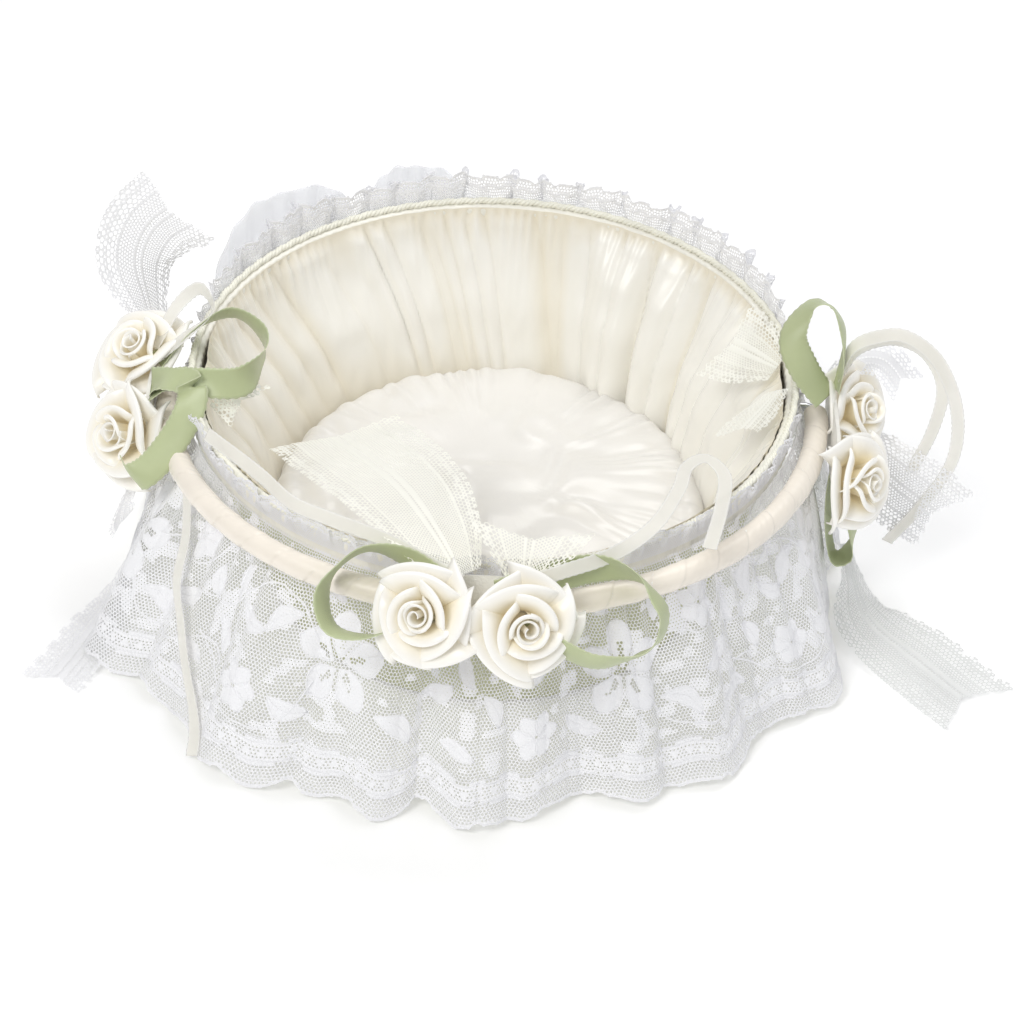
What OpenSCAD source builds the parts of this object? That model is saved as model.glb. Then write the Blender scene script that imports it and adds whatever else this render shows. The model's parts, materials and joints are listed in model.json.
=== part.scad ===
// Flower girl basket: a stiff round tub lined with satin, dressed with a lace skirt and a rim ruffle,
// with a satin-wrapped bail handle that folds forward onto the skirt. Millimetres, +Z up.
// The origin is the centre of the underside, and the handle lies over the front, towards -Y.

/* [Tub] */
// Diameter of the card wall at the rim
rim_d = 200; // [196:1:204]
// Diameter of the card wall at the base
base_d = 152; // [146:1:158]
// Height of the card wall's top edge
wall_top = 77; // [76:0.5:78]
// Thickness of the card wall
wall_t = 1.5; // [1.2:0.1:1.8]
// Thickness of the base board
base_t = 2.5; // [2:0.1:3]
// Thickness of the satin cover and of the folded binding
cover_t = 0.5; // [0.4:0.05:0.6]
// Diameter of the wire bound into the rim
rim_wire_d = 2.4; // [2:0.1:2.6]
// Diameter of the twisted cord on the rim
cord_d = 3; // [2.4:0.1:3.4]

/* [Lining and pad] */
// How far the gathered lining stands off the card wall
lining_gap = 3.4; // [3.2:0.1:4]
// Thickness of the gathered lining
lining_t = 1.6; // [1.2:0.1:1.8]
// Height of the floor pad's crown
pad_top = 30; // [26:0.5:32]

/* [Lace] */
// Thickness of the gathered lace layers
lace_t = 1.4; // [1.2:0.1:1.5]
// Height of the ruffle above its seam, at the back
ruffle_back_h = 15; // [10:0.5:16]
// Height of the ruffle above its seam, under the folded handle
ruffle_front_h = 7; // [5:0.5:7.5]
// Radius of the skirt's hem at the front and the back
hem_front_r = 134; // [126:1:136]
// Radius of the skirt's hem at the sides
hem_side_r = 120; // [116:1:123]
// Number of deep flutes round the skirt
flute_count = 14; // [12:1:16]
// Depth of the flutes at the hem
flute_depth = 4; // [2:0.5:5]

/* [Handle] */
// Distance between the handle's two ends, across the tub
handle_span = 216; // [215.5:0.5:217]
// Height of the pivots above the surface
pivot_z = 69; // [68.5:0.1:69.5]
// Tilt of the folded handle above the horizontal, in degrees
rest_tilt = 3; // [2:0.5:4]
// Diameter of the handle's wire core
wire_d = 3; // [2.6:0.1:3]
// Diameter over the foam padding
padding_d = 7.4; // [7:0.1:7.6]
// Diameter over the satin wrap
wrap_d = 8.4; // [8:0.1:8.6]

/* [Trim] */
// Width of the green satin ribbon
green_w = 10; // [8:0.5:11]
// Width of the narrow sheer ribbon
sheer_w = 4.5; // [3.5:0.25:5]
// Width of the lace ribbon
lace_w = 36; // [30:1:38]
// Diameter of a ribbon rose
rose_d = 30; // [26:0.5:31]

/* [Hidden] */

$fn = 96;
foot_t = 1;                       // satin-covered sole under the base board
rim_r = rim_d / 2;
base_r = base_d / 2;
board_gap = 0.2;
binding_h = 9;                    // how far the folded binding reaches down each side
binding_out_r = rim_r + 2 * cover_t;
binding_in_r = rim_r - wall_t - 2 * cover_t;
rim_wire_z = wall_top + rim_wire_d / 2 + 0.1;
binding_top = rim_wire_z + rim_wire_d / 2 + cover_t;
seam_z = binding_top - 4.8;       // where the ruffle and the skirt are sewn to the binding
seam_r = binding_out_r + 0.2;
pin_r = wire_d / 2;
running_gap = 0.06;
bend_r = 4;                       // the wire's bend from each leg into its pin
leg_x = handle_span / 2;
barrel_r = 2.4;                   // outside of an eyelet's barrel
barrel_gap = 0.05;
cap_t = 1.6;
cap_r = 3.2;
pin_end = 93;                     // the pins' inner ends, measured from the middle
hem_z = 1.2;
ribbon_t = 0.5;
backing_t = 1.2;
lace_ribbon_t = 0.6;

// The trim's routes. Each stop is [place, way across the ribbon, width].
left_green_loops = [
    [[[-112, -2, 80], [-0.46, 0.89, -0.04], green_w], [[-101, 4, 88], [-0.17, 0.84, -0.52], green_w],
        [[-88, 10, 91.5], [0.14, 0.56, -0.82], green_w], [[-77, 1, 90], [-0.06, 0.15, -0.99], green_w],
        [[-76, -9, 88], [-0.18, 0.17, -0.97], green_w], [[-82, -21, 87], [0.29, -0.37, -0.88], green_w],
        [[-95, -23, 87.5], [-0.01, -0.85, -0.52], green_w], [[-106, -20, 86], [-0.37, -0.9, -0.22], green_w],
        [[-112.6, -14, 80], [-0.07, -0.74, -0.67], green_w]],
    [[[-110.5, -27, 77.5], [0.09, 0.97, 0.22], green_w], [[-103, -29, 83.5], [0.17, 0.77, 0.61], green_w],
        [[-97, -36, 85], [0.67, 0.21, 0.72], green_w], [[-96.5, -46, 82.5], [0.83, -0.4, 0.38], green_w],
        [[-102, -54, 77], [0.42, -0.89, -0.18], green_w], [[-109, -50, 73.5], [-0.32, -0.54, -0.78], green_w],
        [[-113.8, -39, 71.5], [-0.14, -0.24, -0.96], green_w]]];
left_sheer_loops = [
    [[[-113, 2, 82], [-0.53, 0.76, -0.37], sheer_w], [[-107, 11, 92], [-0.79, 0.56, 0.24], sheer_w],
        [[-99, 15, 98], [-0.08, 0.29, 0.95], sheer_w], [[-94, 8, 94], [0.37, -0.51, 0.78], sheer_w],
        [[-102, 0, 89.5], [0.5, -0.86, 0.13], sheer_w], [[-111.5, -4, 82.5], [0.42, -0.91, -0.05], sheer_w]]];
left_lace_loops = [
    [[[-114.2, 21, 68], [0.11, 0.94, -0.33], 12], [[-117, 27, 84], [0.61, 0.77, -0.19], 24],
        [[-116, 30, 98], [0.89, 0.38, -0.25], 34], [[-111, 30, 110], [0.9, 0, -0.43], lace_w],
        [[-106, 30, 119], [0.87, 0, -0.49], lace_w]],
    [[[-114.2, -8, 56], [0.42, -0.57, 0.7], 12], [[-119, -23, 46], [0.5, -0.5, 0.7], 15],
        [[-122, -35, 41], [0.6, -0.25, 0.75], 14], [[-120, -46, 45], [0.6, 0.1, 0.8], 12]]];
right_green_loops = [
    [[[110, -9, 79.5], [0.63, 0.75, 0.22], green_w], [[102, -5, 89], [0.86, 0.33, 0.4], green_w],
        [[98, 1, 97], [0.84, -0.48, 0.26], green_w], [[103, 6, 106], [0.09, -0.98, 0.18], green_w],
        [[110, 4, 107.5], [-0.14, -0.78, 0.61], green_w], [[114.5, 0, 101], [-0.26, -0.9, 0.36], green_w],
        [[115, -4, 91], [0, -0.92, 0.39], green_w], [[113.4, -8, 82], [0.14, -0.91, 0.38], green_w]],
    [[[114.2, -14, 57.5], [0.22, 0.89, -0.4], green_w], [[113.4, -19, 46], [0.31, 0.89, -0.34], green_w],
        [[114.4, -23, 34], [0.29, 0.93, -0.22], green_w], [[117, -25, 25], [0.13, 0.99, 0], green_w],
        [[122, -24, 24.5], [-0.27, 0.92, -0.29], green_w], [[124, -20, 34], [0.47, 0.84, -0.26], green_w],
        [[121, -17, 45], [0.51, 0.86, -0.07], green_w], [[117, -14, 55], [0.41, 0.9, -0.11], green_w]]];
right_sheer_loops = [
    [[[114.2, -4, 84], [0.13, 0.98, -0.12], sheer_w], [[117.5, -3, 96], [-0.31, 0.93, 0.21], sheer_w],
        [[126, -4, 102], [-0.22, 0.59, 0.78], sheer_w], [[135, -5, 102.5], [0.39, 0.38, 0.84], sheer_w],
        [[146, -7, 94], [0.8, 0.29, 0.53], sheer_w], [[154, -9, 76], [0.96, 0.2, 0.21], sheer_w],
        [[155, -10, 56], [0.98, 0.1, -0.18], sheer_w], [[147, -11, 37], [0.88, 0.11, -0.46], sheer_w],
        [[137, -12, 21], [0.84, 0.11, -0.53], sheer_w]],
    [[[116, -1, 84], [0.03, 0.97, -0.23], sheer_w], [[120, 1, 93], [-0.45, 0.81, 0.38], sheer_w],
        [[131, 1, 97.5], [-0.01, 0.39, 0.92], sheer_w], [[142, -1, 94], [0.66, 0.28, 0.7], sheer_w],
        [[149, -3, 82], [0.97, 0.17, 0.18], sheer_w], [[148, -5, 66], [0.98, 0.1, -0.19], sheer_w],
        [[142.5, -6, 47], [0.95, 0.11, -0.28], sheer_w]]];
right_lace_loops = [
    [[[114.4, 12, 70], [-0.22, 0.97, 0.08], 12], [[121, 13, 79], [0.01, 0.97, 0.1], 16],
        [[131, 10, 82], [0.3, 0.9, 0.2], 18], [[140, 4, 74], [0.5, 0.8, 0.3], 18]],
    [[[115, -10, 57], [-0.11, 0.79, 0.6], 12], [[127, -3, 50], [0.45, 0.45, 0.77], 22],
        [[140, -9, 42], [0.53, 0.03, 0.85], 32], [[155, -14, 33], [0.46, -0.19, 0.87], lace_w]]];
front_green_loops = [
    [[[-8, -115, 82.5], [0.17, -0.22, 0.96], green_w], [[-22, -106.5, 87], [0.12, -0.2, 0.97], green_w],
        [[-35, -103.5, 88], [-0.06, -0.63, 0.78], green_w], [[-44, -108, 84], [0.01, -0.68, 0.73], green_w],
        [[-48, -114.5, 78], [-0.41, -0.6, 0.68], green_w], [[-45, -121, 72], [-0.32, -0.83, 0.45], green_w],
        [[-36, -123, 71], [-0.07, -0.85, 0.53], green_w], [[-24, -122, 73], [-0.12, -0.55, 0.82], green_w],
        [[-10, -119, 77.5], [-0.14, -0.57, 0.81], green_w]],
    [[[4, -115, 82], [-0.22, 0.26, 0.94], green_w], [[20, -108.5, 84], [-0.24, 0.42, 0.87], green_w],
        [[34, -105, 85.5], [-0.03, 0.11, 0.99], green_w], [[46, -107, 84.5], [-0.05, -0.56, 0.82], green_w],
        [[53, -114, 80.5], [-0.52, -0.6, 0.6], green_w], [[54, -122, 76.5], [-0.18, -0.39, 0.9], green_w],
        [[48, -129, 73], [0.17, -0.71, 0.68], green_w], [[36, -131.5, 71], [-0.08, -0.4, 0.91], green_w],
        [[26, -128, 71.5], [0.04, -0.29, 0.96], green_w], [[12, -120, 75.5], [0.02, -0.42, 0.91], green_w]]];
front_sheer_loops = [
    [[[8, -114.5, 84], [-0.35, 0.55, 0.76], sheer_w], [[22, -111, 88], [-0.32, 0.49, 0.81], sheer_w],
        [[38, -103, 89], [-0.4, 0.47, 0.79], sheer_w], [[51, -90, 90], [-0.79, 0.55, 0.26], sheer_w],
        [[59, -72, 90], [-0.93, 0.36, 0], sheer_w], [[62, -59, 88.5], [-0.9, 0.4, 0], sheer_w],
        [[68.5, -52.5, 87], [0, 1, 0], sheer_w], [[74, -60, 86], [0.95, 0.3, 0], sheer_w],
        [[72, -78, 87], [0.98, -0.1, 0.1], sheer_w], [[68, -95, 86], [0.99, -0.12, 0], sheer_w]],
    [[[-8, -112, 85], [0.42, 0.49, 0.77], sheer_w], [[-28, -101, 89], [0.29, 0.4, 0.87], sheer_w],
        [[-47, -90, 88], [0.29, 0.55, 0.78], sheer_w], [[-60, -82, 87.5], [0.37, 0.44, 0.81], sheer_w],
        [[-72, -68, 87.5], [0.42, 0.39, 0.82], sheer_w], [[-90, -49, 87], [0.4, 0.4, 0.82], sheer_w]]];
front_lace_loops = [
    [[[-7, -111, 85.5], [0.89, 0.44, 0.14], 12], [[-15, -96, 89.5], [0.89, 0.45, 0], 24],
        [[-27, -71, 87], [0.89, 0.45, -0.01], 34], [[-40, -47, 79], [0.89, 0.47, -0.02], lace_w + 2],
        [[-52, -24, 70], [0.89, 0.46, -0.01], lace_w + 4]],
    [[[12, -111.5, 85.5], [0.99, -0.1, -0.08], 10], [[13, -106, 90.5], [0.99, -0.08, -0.1], 18],
        [[14, -97, 93], [0.99, -0.1, -0.03], 26]]];
left_inner_loops = [
    [[[-93.5, -12, 82], [0.63, 0.78, -0.07], 8], [[-87.5, -17, 80.5], [0.59, 0.8, 0.08], 14],
        [[-79, -22, 76], [0.56, 0.81, 0.16], 16]]];
right_inner_loops = [
    [[[92.5, 5, 82], [0.66, 0.63, 0.41], 8], [[86, 13, 80.2], [0.67, 0.62, 0.41], 18],
        [[78, 24, 77], [0.67, 0.61, 0.41], 26]],
    [[[92, -10, 82], [-0.63, 0.6, -0.5], 8], [[86, -18, 80], [-0.6, 0.63, -0.49], 16],
        [[77, -29, 76], [-0.59, 0.65, -0.48], 20]]];
left_low_route = [
    [[-120, -20, 17], [-0.29, 0.7, -0.65], 12], [[-124, -30, 8], [-0.67, 0.53, -0.51], 16],
    [[-130, -46, 3.2], [-0.92, 0.37, -0.1], 22], [[-136, -62, 2.2], [-0.93, 0.37, -0.01], 26],
    [[-143, -79, 2.2], [-0.92, 0.38, 0], 26]];
right_low_route = [
    [[123, -9, 17], [0.36, 0.73, -0.58], 12], [[127, -19, 7], [0.65, 0.53, -0.54], 18],
    [[132, -34, 3.2], [0.85, 0.52, -0.07], 28], [[147, -52, 2.2], [0.77, 0.64, 0], 34],
    [[165, -74, 2.2], [0.77, 0.63, 0], 34]];
left_hanging_route = [
    [[-93.4, -46, 65.5], [0.56, -0.69, 0.46], sheer_w], [[-95, -53, 57], [0.59, -0.58, 0.56], sheer_w],
    [[-92, -77, 32], [0.68, -0.49, 0.54], sheer_w], [[-90, -93, 14], [0.79, -0.41, 0.46], sheer_w],
    [[-89, -103, 4], [0.8, -0.38, 0.46], sheer_w]];

satin_ivory = [0.95, 0.91, 0.82];
satin_peach = [0.94, 0.86, 0.77];
sage = [0.68, 0.74, 0.56];
cord_yellow = [0.93, 0.91, 0.76];
lace_white = [0.96, 0.96, 0.95];
sheer_cream = [0.93, 0.90, 0.82];
rose_white = [0.97, 0.95, 0.90];
card_grey = [0.75, 0.72, 0.66];
steel = [0.70, 0.71, 0.73];
brass = [0.80, 0.68, 0.42];

// Outer radius of the card wall at a height.
function wall_r(z) = base_r + (rim_r - base_r) * (z - foot_t) / (wall_top - foot_t);

function unit(v) = v / norm(v);

// A point of the smooth curve through p, a share t of the way from p[i] to p[i + 1].
function curve_point(p, i, t) =
    let (last = len(p) - 1, a = p[max(i - 1, 0)], b = p[i], c = p[i + 1], d = p[min(i + 2, last)])
    0.5 * (2 * b + (c - a) * t + (2 * a - 5 * b + 4 * c - d) * t * t
        + (3 * b - a - 3 * c + d) * t * t * t);

function curve(p, steps) =
    [for (i = [0:len(p) - 2], k = [0:steps - 1]) curve_point(p, i, k / steps), p[len(p) - 1]];

// The two triangles of a strip's panel, from ring i to ring i + 1, between corners a and b. The
// last panel is split the other way, so both faces of a twisted ribbon crease along one line.
function panel(i, a, b, n) = b == 0 ?
    [[i * n + a, i * n + b, (i + 1) * n + a], [i * n + b, (i + 1) * n + b, (i + 1) * n + a]] :
    [[i * n + a, i * n + b, (i + 1) * n + b], [i * n + a, (i + 1) * n + b, (i + 1) * n + a]];

// A flat ribbon along a route. Each stop of the route is [place, way across, width].
module ribbon(route, thick = ribbon_t, steps = 4) {
    line = curve([for (stop = route) stop[0]], steps);
    across = curve([for (stop = route) unit(stop[1])], steps);
    widths = curve([for (stop = route) stop[2]], steps);
    last = len(line) - 1;
    corners = [for (i = [0:last])
        let (along = unit(line[min(i + 1, last)] - line[max(i - 1, 0)]),
            side = unit(across[i] - along * (across[i] * along)),
            up = cross(along, side))
        for (c = [[1, 1], [1, -1], [-1, -1], [-1, 1]])
            line[i] + side * c[0] * widths[i] / 2 + up * c[1] * thick / 2];
    sides = [for (i = [0:last - 1], k = [0:3]) each panel(i, k, (k + 1) % 4, 4)];
    ends = [[0, 2, 1], [0, 3, 2], [4 * last, 4 * last + 1, 4 * last + 2],
        [4 * last, 4 * last + 2, 4 * last + 3]];
    polyhedron(points = corners, faces = [for (f = concat(sides, ends)) [f[2], f[1], f[0]]]);
}

// Turns +Z to point along aim, at a place.
module placed(at, aim) {
    translate(at) rotate([0, acos(aim[2] / norm(aim)), atan2(aim[1], aim[0])]) children();
}

// Bores through both sides of the tub, on the pivots' axis.
module pivot_bores(r) {
    translate([0, 0, pivot_z]) rotate([0, 90, 0]) cylinder(h = 3 * rim_d, r = r, center = true);
}

// ---- tub ----

module bottom_cover() {
    color(satin_ivory) cylinder(h = foot_t, r = base_r);
}

module base_board() {
    color(card_grey) translate([0, 0, foot_t]) cylinder(h = base_t, r = base_r - wall_t - board_gap);
}

module wall_board() {
    color(card_grey) difference() {
        rotate_extrude() polygon([[base_r - wall_t, foot_t], [base_r, foot_t],
            [rim_r, wall_top], [rim_r - wall_t, wall_top]]);
        pivot_bores(barrel_r + barrel_gap);
    }
}

module rim_wire() {
    color(steel) translate([0, 0, rim_wire_z]) rotate_extrude()
        translate([rim_r - wall_t / 2, 0]) circle(d = rim_wire_d, $fn = 32);
}

module rim_binding() {
    foot = wall_top - binding_h + 3.6;
    inner_foot = wall_top - 1.2;      // the sloping wall takes the inner leg's place below this
    color(satin_ivory) rotate_extrude() polygon([
        [binding_in_r, inner_foot], [binding_in_r, binding_top], [binding_out_r, binding_top],
        [binding_out_r, foot], [binding_out_r - cover_t, foot],
        [binding_out_r - cover_t, binding_top - cover_t],
        [binding_in_r + cover_t, binding_top - cover_t], [binding_in_r + cover_t, inner_foot]]);
}

module outer_cover() {
    top = wall_top - binding_h + 2.8;
    color([0.86, 0.87, 0.76]) difference() {
        rotate_extrude() polygon([[base_r + 0.1, foot_t], [base_r + 0.1 + cover_t, foot_t],
            [wall_r(top) + 0.1 + cover_t, top], [wall_r(top) + 0.1, top]]);
        pivot_bores(barrel_r + barrel_gap);
    }
}

module eyelet(side) {
    barrel_in = 95;
    barrel_out = 100.3;
    color(brass) difference() {
        union() {
            translate([side * (barrel_in + barrel_out) / 2, 0, pivot_z]) rotate([0, 90, 0])
                cylinder(h = barrel_out - barrel_in, r = barrel_r, center = true);
            translate([side * (barrel_out - 0.25), 0, pivot_z]) rotate([0, 90, 0])
                cylinder(h = 0.5, r = 4.4, center = true);
        }
        pivot_bores(pin_r + running_gap);
    }
}

// ---- lining, pad and rim ----

module lining() {
    puff_z = 72.4;
    foot_z = foot_t + base_t + 0.3;
    stand_off = wall_t + lining_gap;
    inner = stand_off + lining_t;
    color(satin_ivory) rotate_extrude() polygon([
        [binding_in_r - 0.2, binding_top - 0.6], [binding_in_r - 0.2, puff_z + 3],
        [wall_r(puff_z) - stand_off - 1, puff_z], [wall_r(60) - stand_off, 60],
        [wall_r(foot_z) - stand_off, foot_z], [base_r - 14, foot_z], [base_r - 14, foot_z + 1],
        [wall_r(foot_z + 2) - inner, foot_z + 2], [wall_r(60) - inner, 60],
        [wall_r(puff_z) - inner - 1, puff_z], [binding_in_r - 1.2, puff_z + 4.6],
        [binding_in_r - 1.2, binding_top - 0.6]]);
}

module floor_pad() {
    pad_foot = foot_t + base_t + 1.6;
    edge = wall_t + lining_gap + lining_t + 0.4;
    color(satin_ivory) rotate_extrude() polygon([
        [0, pad_foot], [base_r - 14, pad_foot], [wall_r(8) - edge, 8], [wall_r(15) - edge, 15],
        [wall_r(20) - edge, 20], [wall_r(23) - edge - 2, 23], [base_r - 14, pad_top - 4],
        [base_r - 34, pad_top - 0.5], [0, pad_top]]);
}

module rim_cord() {
    color(cord_yellow) translate([0, 0, binding_top + cord_d / 2]) rotate_extrude()
        translate([rim_r + 0.2, 0]) circle(d = cord_d, $fn = 32);
}

// One stretch of the ruffle, from angle start, standing height above its seam.
module ruffle_arc(start, sweep, height, flare) {
    rotate([0, 0, start]) rotate_extrude(angle = sweep) polygon([
        [seam_r, seam_z], [seam_r + lace_t, seam_z], [seam_r + lace_t + flare, seam_z + height],
        [seam_r + flare, seam_z + height]]);
}

module rim_ruffle() {
    pivot_clear = 20;
    sweep = 180 - 2 * pivot_clear;
    color(lace_white) {
        ruffle_arc(pivot_clear, sweep, ruffle_back_h, 2.4);
        ruffle_arc(180 + pivot_clear, sweep, ruffle_front_h, 0.6);
    }
}

// Radius of the skirt's outer face: a turn from the front, and a share t of the way down to the hem.
function skirt_r(turn, t) =
    let (waist = seam_r + lace_t,
        drop = max(0, (t - 0.12) / 0.88),
        hem = (hem_front_r + hem_side_r) / 2 + (hem_front_r - hem_side_r) / 2 * cos(2 * turn))
    waist + (hem - waist) * pow(drop, 0.85) + flute_depth * drop * drop * cos(flute_count * turn);

module lace_skirt() {
    levels = 7;
    turns = 8 * flute_count;
    ring = 2 * (levels + 1);
    top = seam_z - 0.2;
    corners = [for (i = [0:turns - 1])
        let (turn = 360 * i / turns, way = [sin(turn), -cos(turn), 0])
        each concat(
            [for (k = [0:levels]) way * skirt_r(turn, k / levels)
                + [0, 0, top + (hem_z - top) * k / levels]],
            [for (k = [levels:-1:0]) way * (skirt_r(turn, k / levels) - lace_t)
                + [0, 0, top + (hem_z - top) * k / levels]])];
    faces = [for (i = [0:turns - 1], k = [0:ring - 1])
        let (a = i * ring + k, b = i * ring + (k + 1) % ring, j = (i + 1) % turns,
            c = j * ring + (k + 1) % ring, d = j * ring + k)
        each [[a, b, c], [a, c, d]]];
    color(lace_white) difference() {
        polyhedron(points = corners, faces = faces);
        pivot_bores(4);
    }
}

module organza_puff() {
    color([0.90, 0.90, 0.89]) rotate([0, 0, 102]) rotate_extrude(angle = 56) polygon([
        [seam_r + 4.2, 74], [seam_r + 5.2, 74], [seam_r + 11, 84], [seam_r + 9, 94],
        [seam_r + 8, 94], [seam_r + 9.8, 84.2]]);
}

// ---- handle ----

// Puts a shape drawn round the pivots' axis, with the crown along -Y, into the folded position.
module folded() {
    translate([0, 0, pivot_z]) rotate([-rest_tilt, 0, 0]) children();
}

// A round section swept along the bail, a half circle from leg to leg.
module bail(outer_d, inner_d) {
    translate([0, -bend_r, 0]) rotate([0, 0, 180]) rotate_extrude(angle = 180)
        translate([leg_x, 0]) difference() {
            circle(d = outer_d, $fn = 48);
            if (inner_d > 0) circle(d = inner_d, $fn = 48);
        }
}

module handle_wire() {
    color(steel) folded() {
        bail(wire_d, 0);
        for (side = [-1, 1]) {
            translate([side * (leg_x - bend_r), -bend_r, 0])
                rotate([0, 0, side > 0 ? 0 : 90]) rotate_extrude(angle = 90)
                    translate([bend_r, 0]) circle(d = wire_d, $fn = 48);
            translate([side * (pin_end + leg_x - bend_r) / 2, 0, 0]) rotate([0, 90, 0])
                cylinder(h = leg_x - bend_r - pin_end, d = wire_d, center = true, $fn = 48);
        }
    }
}

module handle_padding() {
    color([0.97, 0.95, 0.90]) folded() bail(padding_d, wire_d);
}

module handle_wrap() {
    color(satin_peach) folded() bail(wrap_d, padding_d);
}

module end_cap(side) {
    color(steel) translate([side * (pin_end + cap_t / 2), 0, pivot_z]) rotate([0, 90, 0])
        difference() {
            cylinder(h = cap_t, r = cap_r, center = true);
            cylinder(h = 2 * cap_t, r = pin_r, center = true);
        }
}

// ---- roses and their backings ----

// A felt backing with round ends, lying flat against the handle.
module backing(at, aim, length, width) {
    straight = length - width;
    color(satin_ivory) placed(at, aim) {
        for (side = [-1, 1]) translate([0, side * straight / 2, 0]) cylinder(h = backing_t, d = width);
        translate([-width / 2, -straight / 2, 0]) cube([width, straight, backing_t]);
    }
}

// A rose of folded ribbon: a cup of outer petals round a taller rolled bud.
module rose(at, aim) {
    r = rose_d / 2;
    color(rose_white) placed(at, aim) rotate_extrude() polygon([
        [0, 0], [0.35 * r, 0], [0.75 * r, 0.3 * r], [r, 0.8 * r], [0.98 * r, 0.95 * r],
        [0.78 * r, 0.98 * r], [0.62 * r, 0.85 * r], [0.56 * r, 1.05 * r], [0.4 * r, 1.12 * r],
        [0.3 * r, 1.02 * r], [0.22 * r, 1.18 * r], [0, 1.18 * r]]);
}

module left_backing() {
    backing([-112.4, -4, 70], [-1, 0, 0], 40, 20);
}

module left_rose_upper() {
    rose([-115.4, 6, 72.5], [-0.42, -0.28, 0.86]);
}

module left_rose_lower() {
    rose([-116, -18, 61.5], [-0.66, -0.6, 0.45]);
}

module right_backing() {
    backing([112.4, -14, 69.5], [1, 0, 0], 42, 20);
}

module right_rose_upper() {
    rose([115.8, 0, 66.5], [0.76, -0.4, 0.5]);
}

module right_rose_lower() {
    rose([115.4, -28.5, 61], [0.76, -0.55, 0.35]);
}

module front_backing() {
    backing([-3, -116, 77.2], [0, -0.8, 0.6], 44, 20);
}

module front_rose_left() {
    rose([-16.5, -117.6, 77], [-0.3, -0.8, 0.52]);
}

module front_rose_right() {
    rose([11, -118.2, 75], [0.22, -0.85, 0.47]);
}

// ---- ribbons and lace ----

module green_bow(loops) {
    color(sage) for (route = loops) ribbon(route);
}

module sheer_ribbon(loops) {
    color(sheer_cream) for (route = loops) ribbon(route);
}

module lace_bow(loops) {
    color(lace_white) for (route = loops) ribbon(route, lace_ribbon_t);
}

bottom_cover();
base_board();
wall_board();
rim_wire();
rim_binding();
outer_cover();
lining();
floor_pad();
rim_cord();
rim_ruffle();
lace_skirt();
organza_puff();
eyelet(-1);  // eyelet_left
eyelet(1);  // eyelet_right
lace_bow(left_inner_loops);  // left_inner_lace
lace_bow(right_inner_loops);  // right_inner_lace
lace_bow([left_low_route]);  // left_low_lace
lace_bow([right_low_route]);  // right_low_lace
sheer_ribbon([left_hanging_route]);  // left_hanging_ribbon
handle_wire();
handle_padding();
handle_wrap();
end_cap(-1);  // end_cap_left
end_cap(1);  // end_cap_right
left_backing();
left_rose_upper();
left_rose_lower();
green_bow(left_green_loops);  // left_green_bow
sheer_ribbon(left_sheer_loops);  // left_sheer_ribbon
lace_bow(left_lace_loops);  // left_lace_bow
right_backing();
right_rose_upper();
right_rose_lower();
green_bow(right_green_loops);  // right_green_bow
sheer_ribbon(right_sheer_loops);  // right_sheer_ribbon
lace_bow(right_lace_loops);  // right_lace_bow
front_backing();
front_rose_left();
front_rose_right();
green_bow(front_green_loops);  // front_green_bow
sheer_ribbon(front_sheer_loops);  // front_sheer_ribbon
lace_bow(front_lace_loops);  // front_lace_bow
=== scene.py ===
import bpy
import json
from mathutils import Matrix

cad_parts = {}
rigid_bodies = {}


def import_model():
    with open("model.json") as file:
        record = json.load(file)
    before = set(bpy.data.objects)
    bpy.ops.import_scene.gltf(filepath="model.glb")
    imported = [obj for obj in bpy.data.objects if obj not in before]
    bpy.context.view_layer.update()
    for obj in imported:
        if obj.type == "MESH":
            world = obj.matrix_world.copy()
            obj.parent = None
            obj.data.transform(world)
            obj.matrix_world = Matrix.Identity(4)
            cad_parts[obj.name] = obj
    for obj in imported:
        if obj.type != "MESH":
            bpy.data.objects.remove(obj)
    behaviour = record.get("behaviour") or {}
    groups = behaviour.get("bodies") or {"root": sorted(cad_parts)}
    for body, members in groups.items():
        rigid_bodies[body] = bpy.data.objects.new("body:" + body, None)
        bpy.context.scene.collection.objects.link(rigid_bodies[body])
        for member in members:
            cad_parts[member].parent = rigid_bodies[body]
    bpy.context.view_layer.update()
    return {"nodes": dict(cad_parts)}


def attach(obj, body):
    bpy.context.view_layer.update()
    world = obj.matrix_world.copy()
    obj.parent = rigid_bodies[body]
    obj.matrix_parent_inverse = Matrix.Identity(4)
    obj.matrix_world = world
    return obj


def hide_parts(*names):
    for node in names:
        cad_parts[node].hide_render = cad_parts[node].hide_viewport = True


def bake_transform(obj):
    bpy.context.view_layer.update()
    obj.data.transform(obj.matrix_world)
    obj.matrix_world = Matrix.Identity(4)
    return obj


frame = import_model()

import json
from math import cos, pi, radians, sin, sqrt

import bpy
import numpy as np
from mathutils import Matrix, Vector

# All lengths in this script are in mm, and MM turns them into metres.
MM = 0.001
PIVOT_Z = 69.0  # the handle's hinge
SEAM_R, SEAM_Z = 101.2, 75.2  # the seam that holds the skirt and the frill
LEG_X, BEND, REST_TILT = 108.0, 4.0, 3.0  # the handle's half width, its bend past the hinge, its rest angle
NET_THREAD = 0.1  # how far a net's threads stand above its sheet


# ---------------------------------------------------------------- materials

# A wave bump's directions, distortion and detail.
WAVES = {"weave": (("X", "Y"), 0.6, 1.0), "rib": (("DIAGONAL",), 0.4, 2.0)}
BUMP_DEPTH = 0.0004


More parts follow.
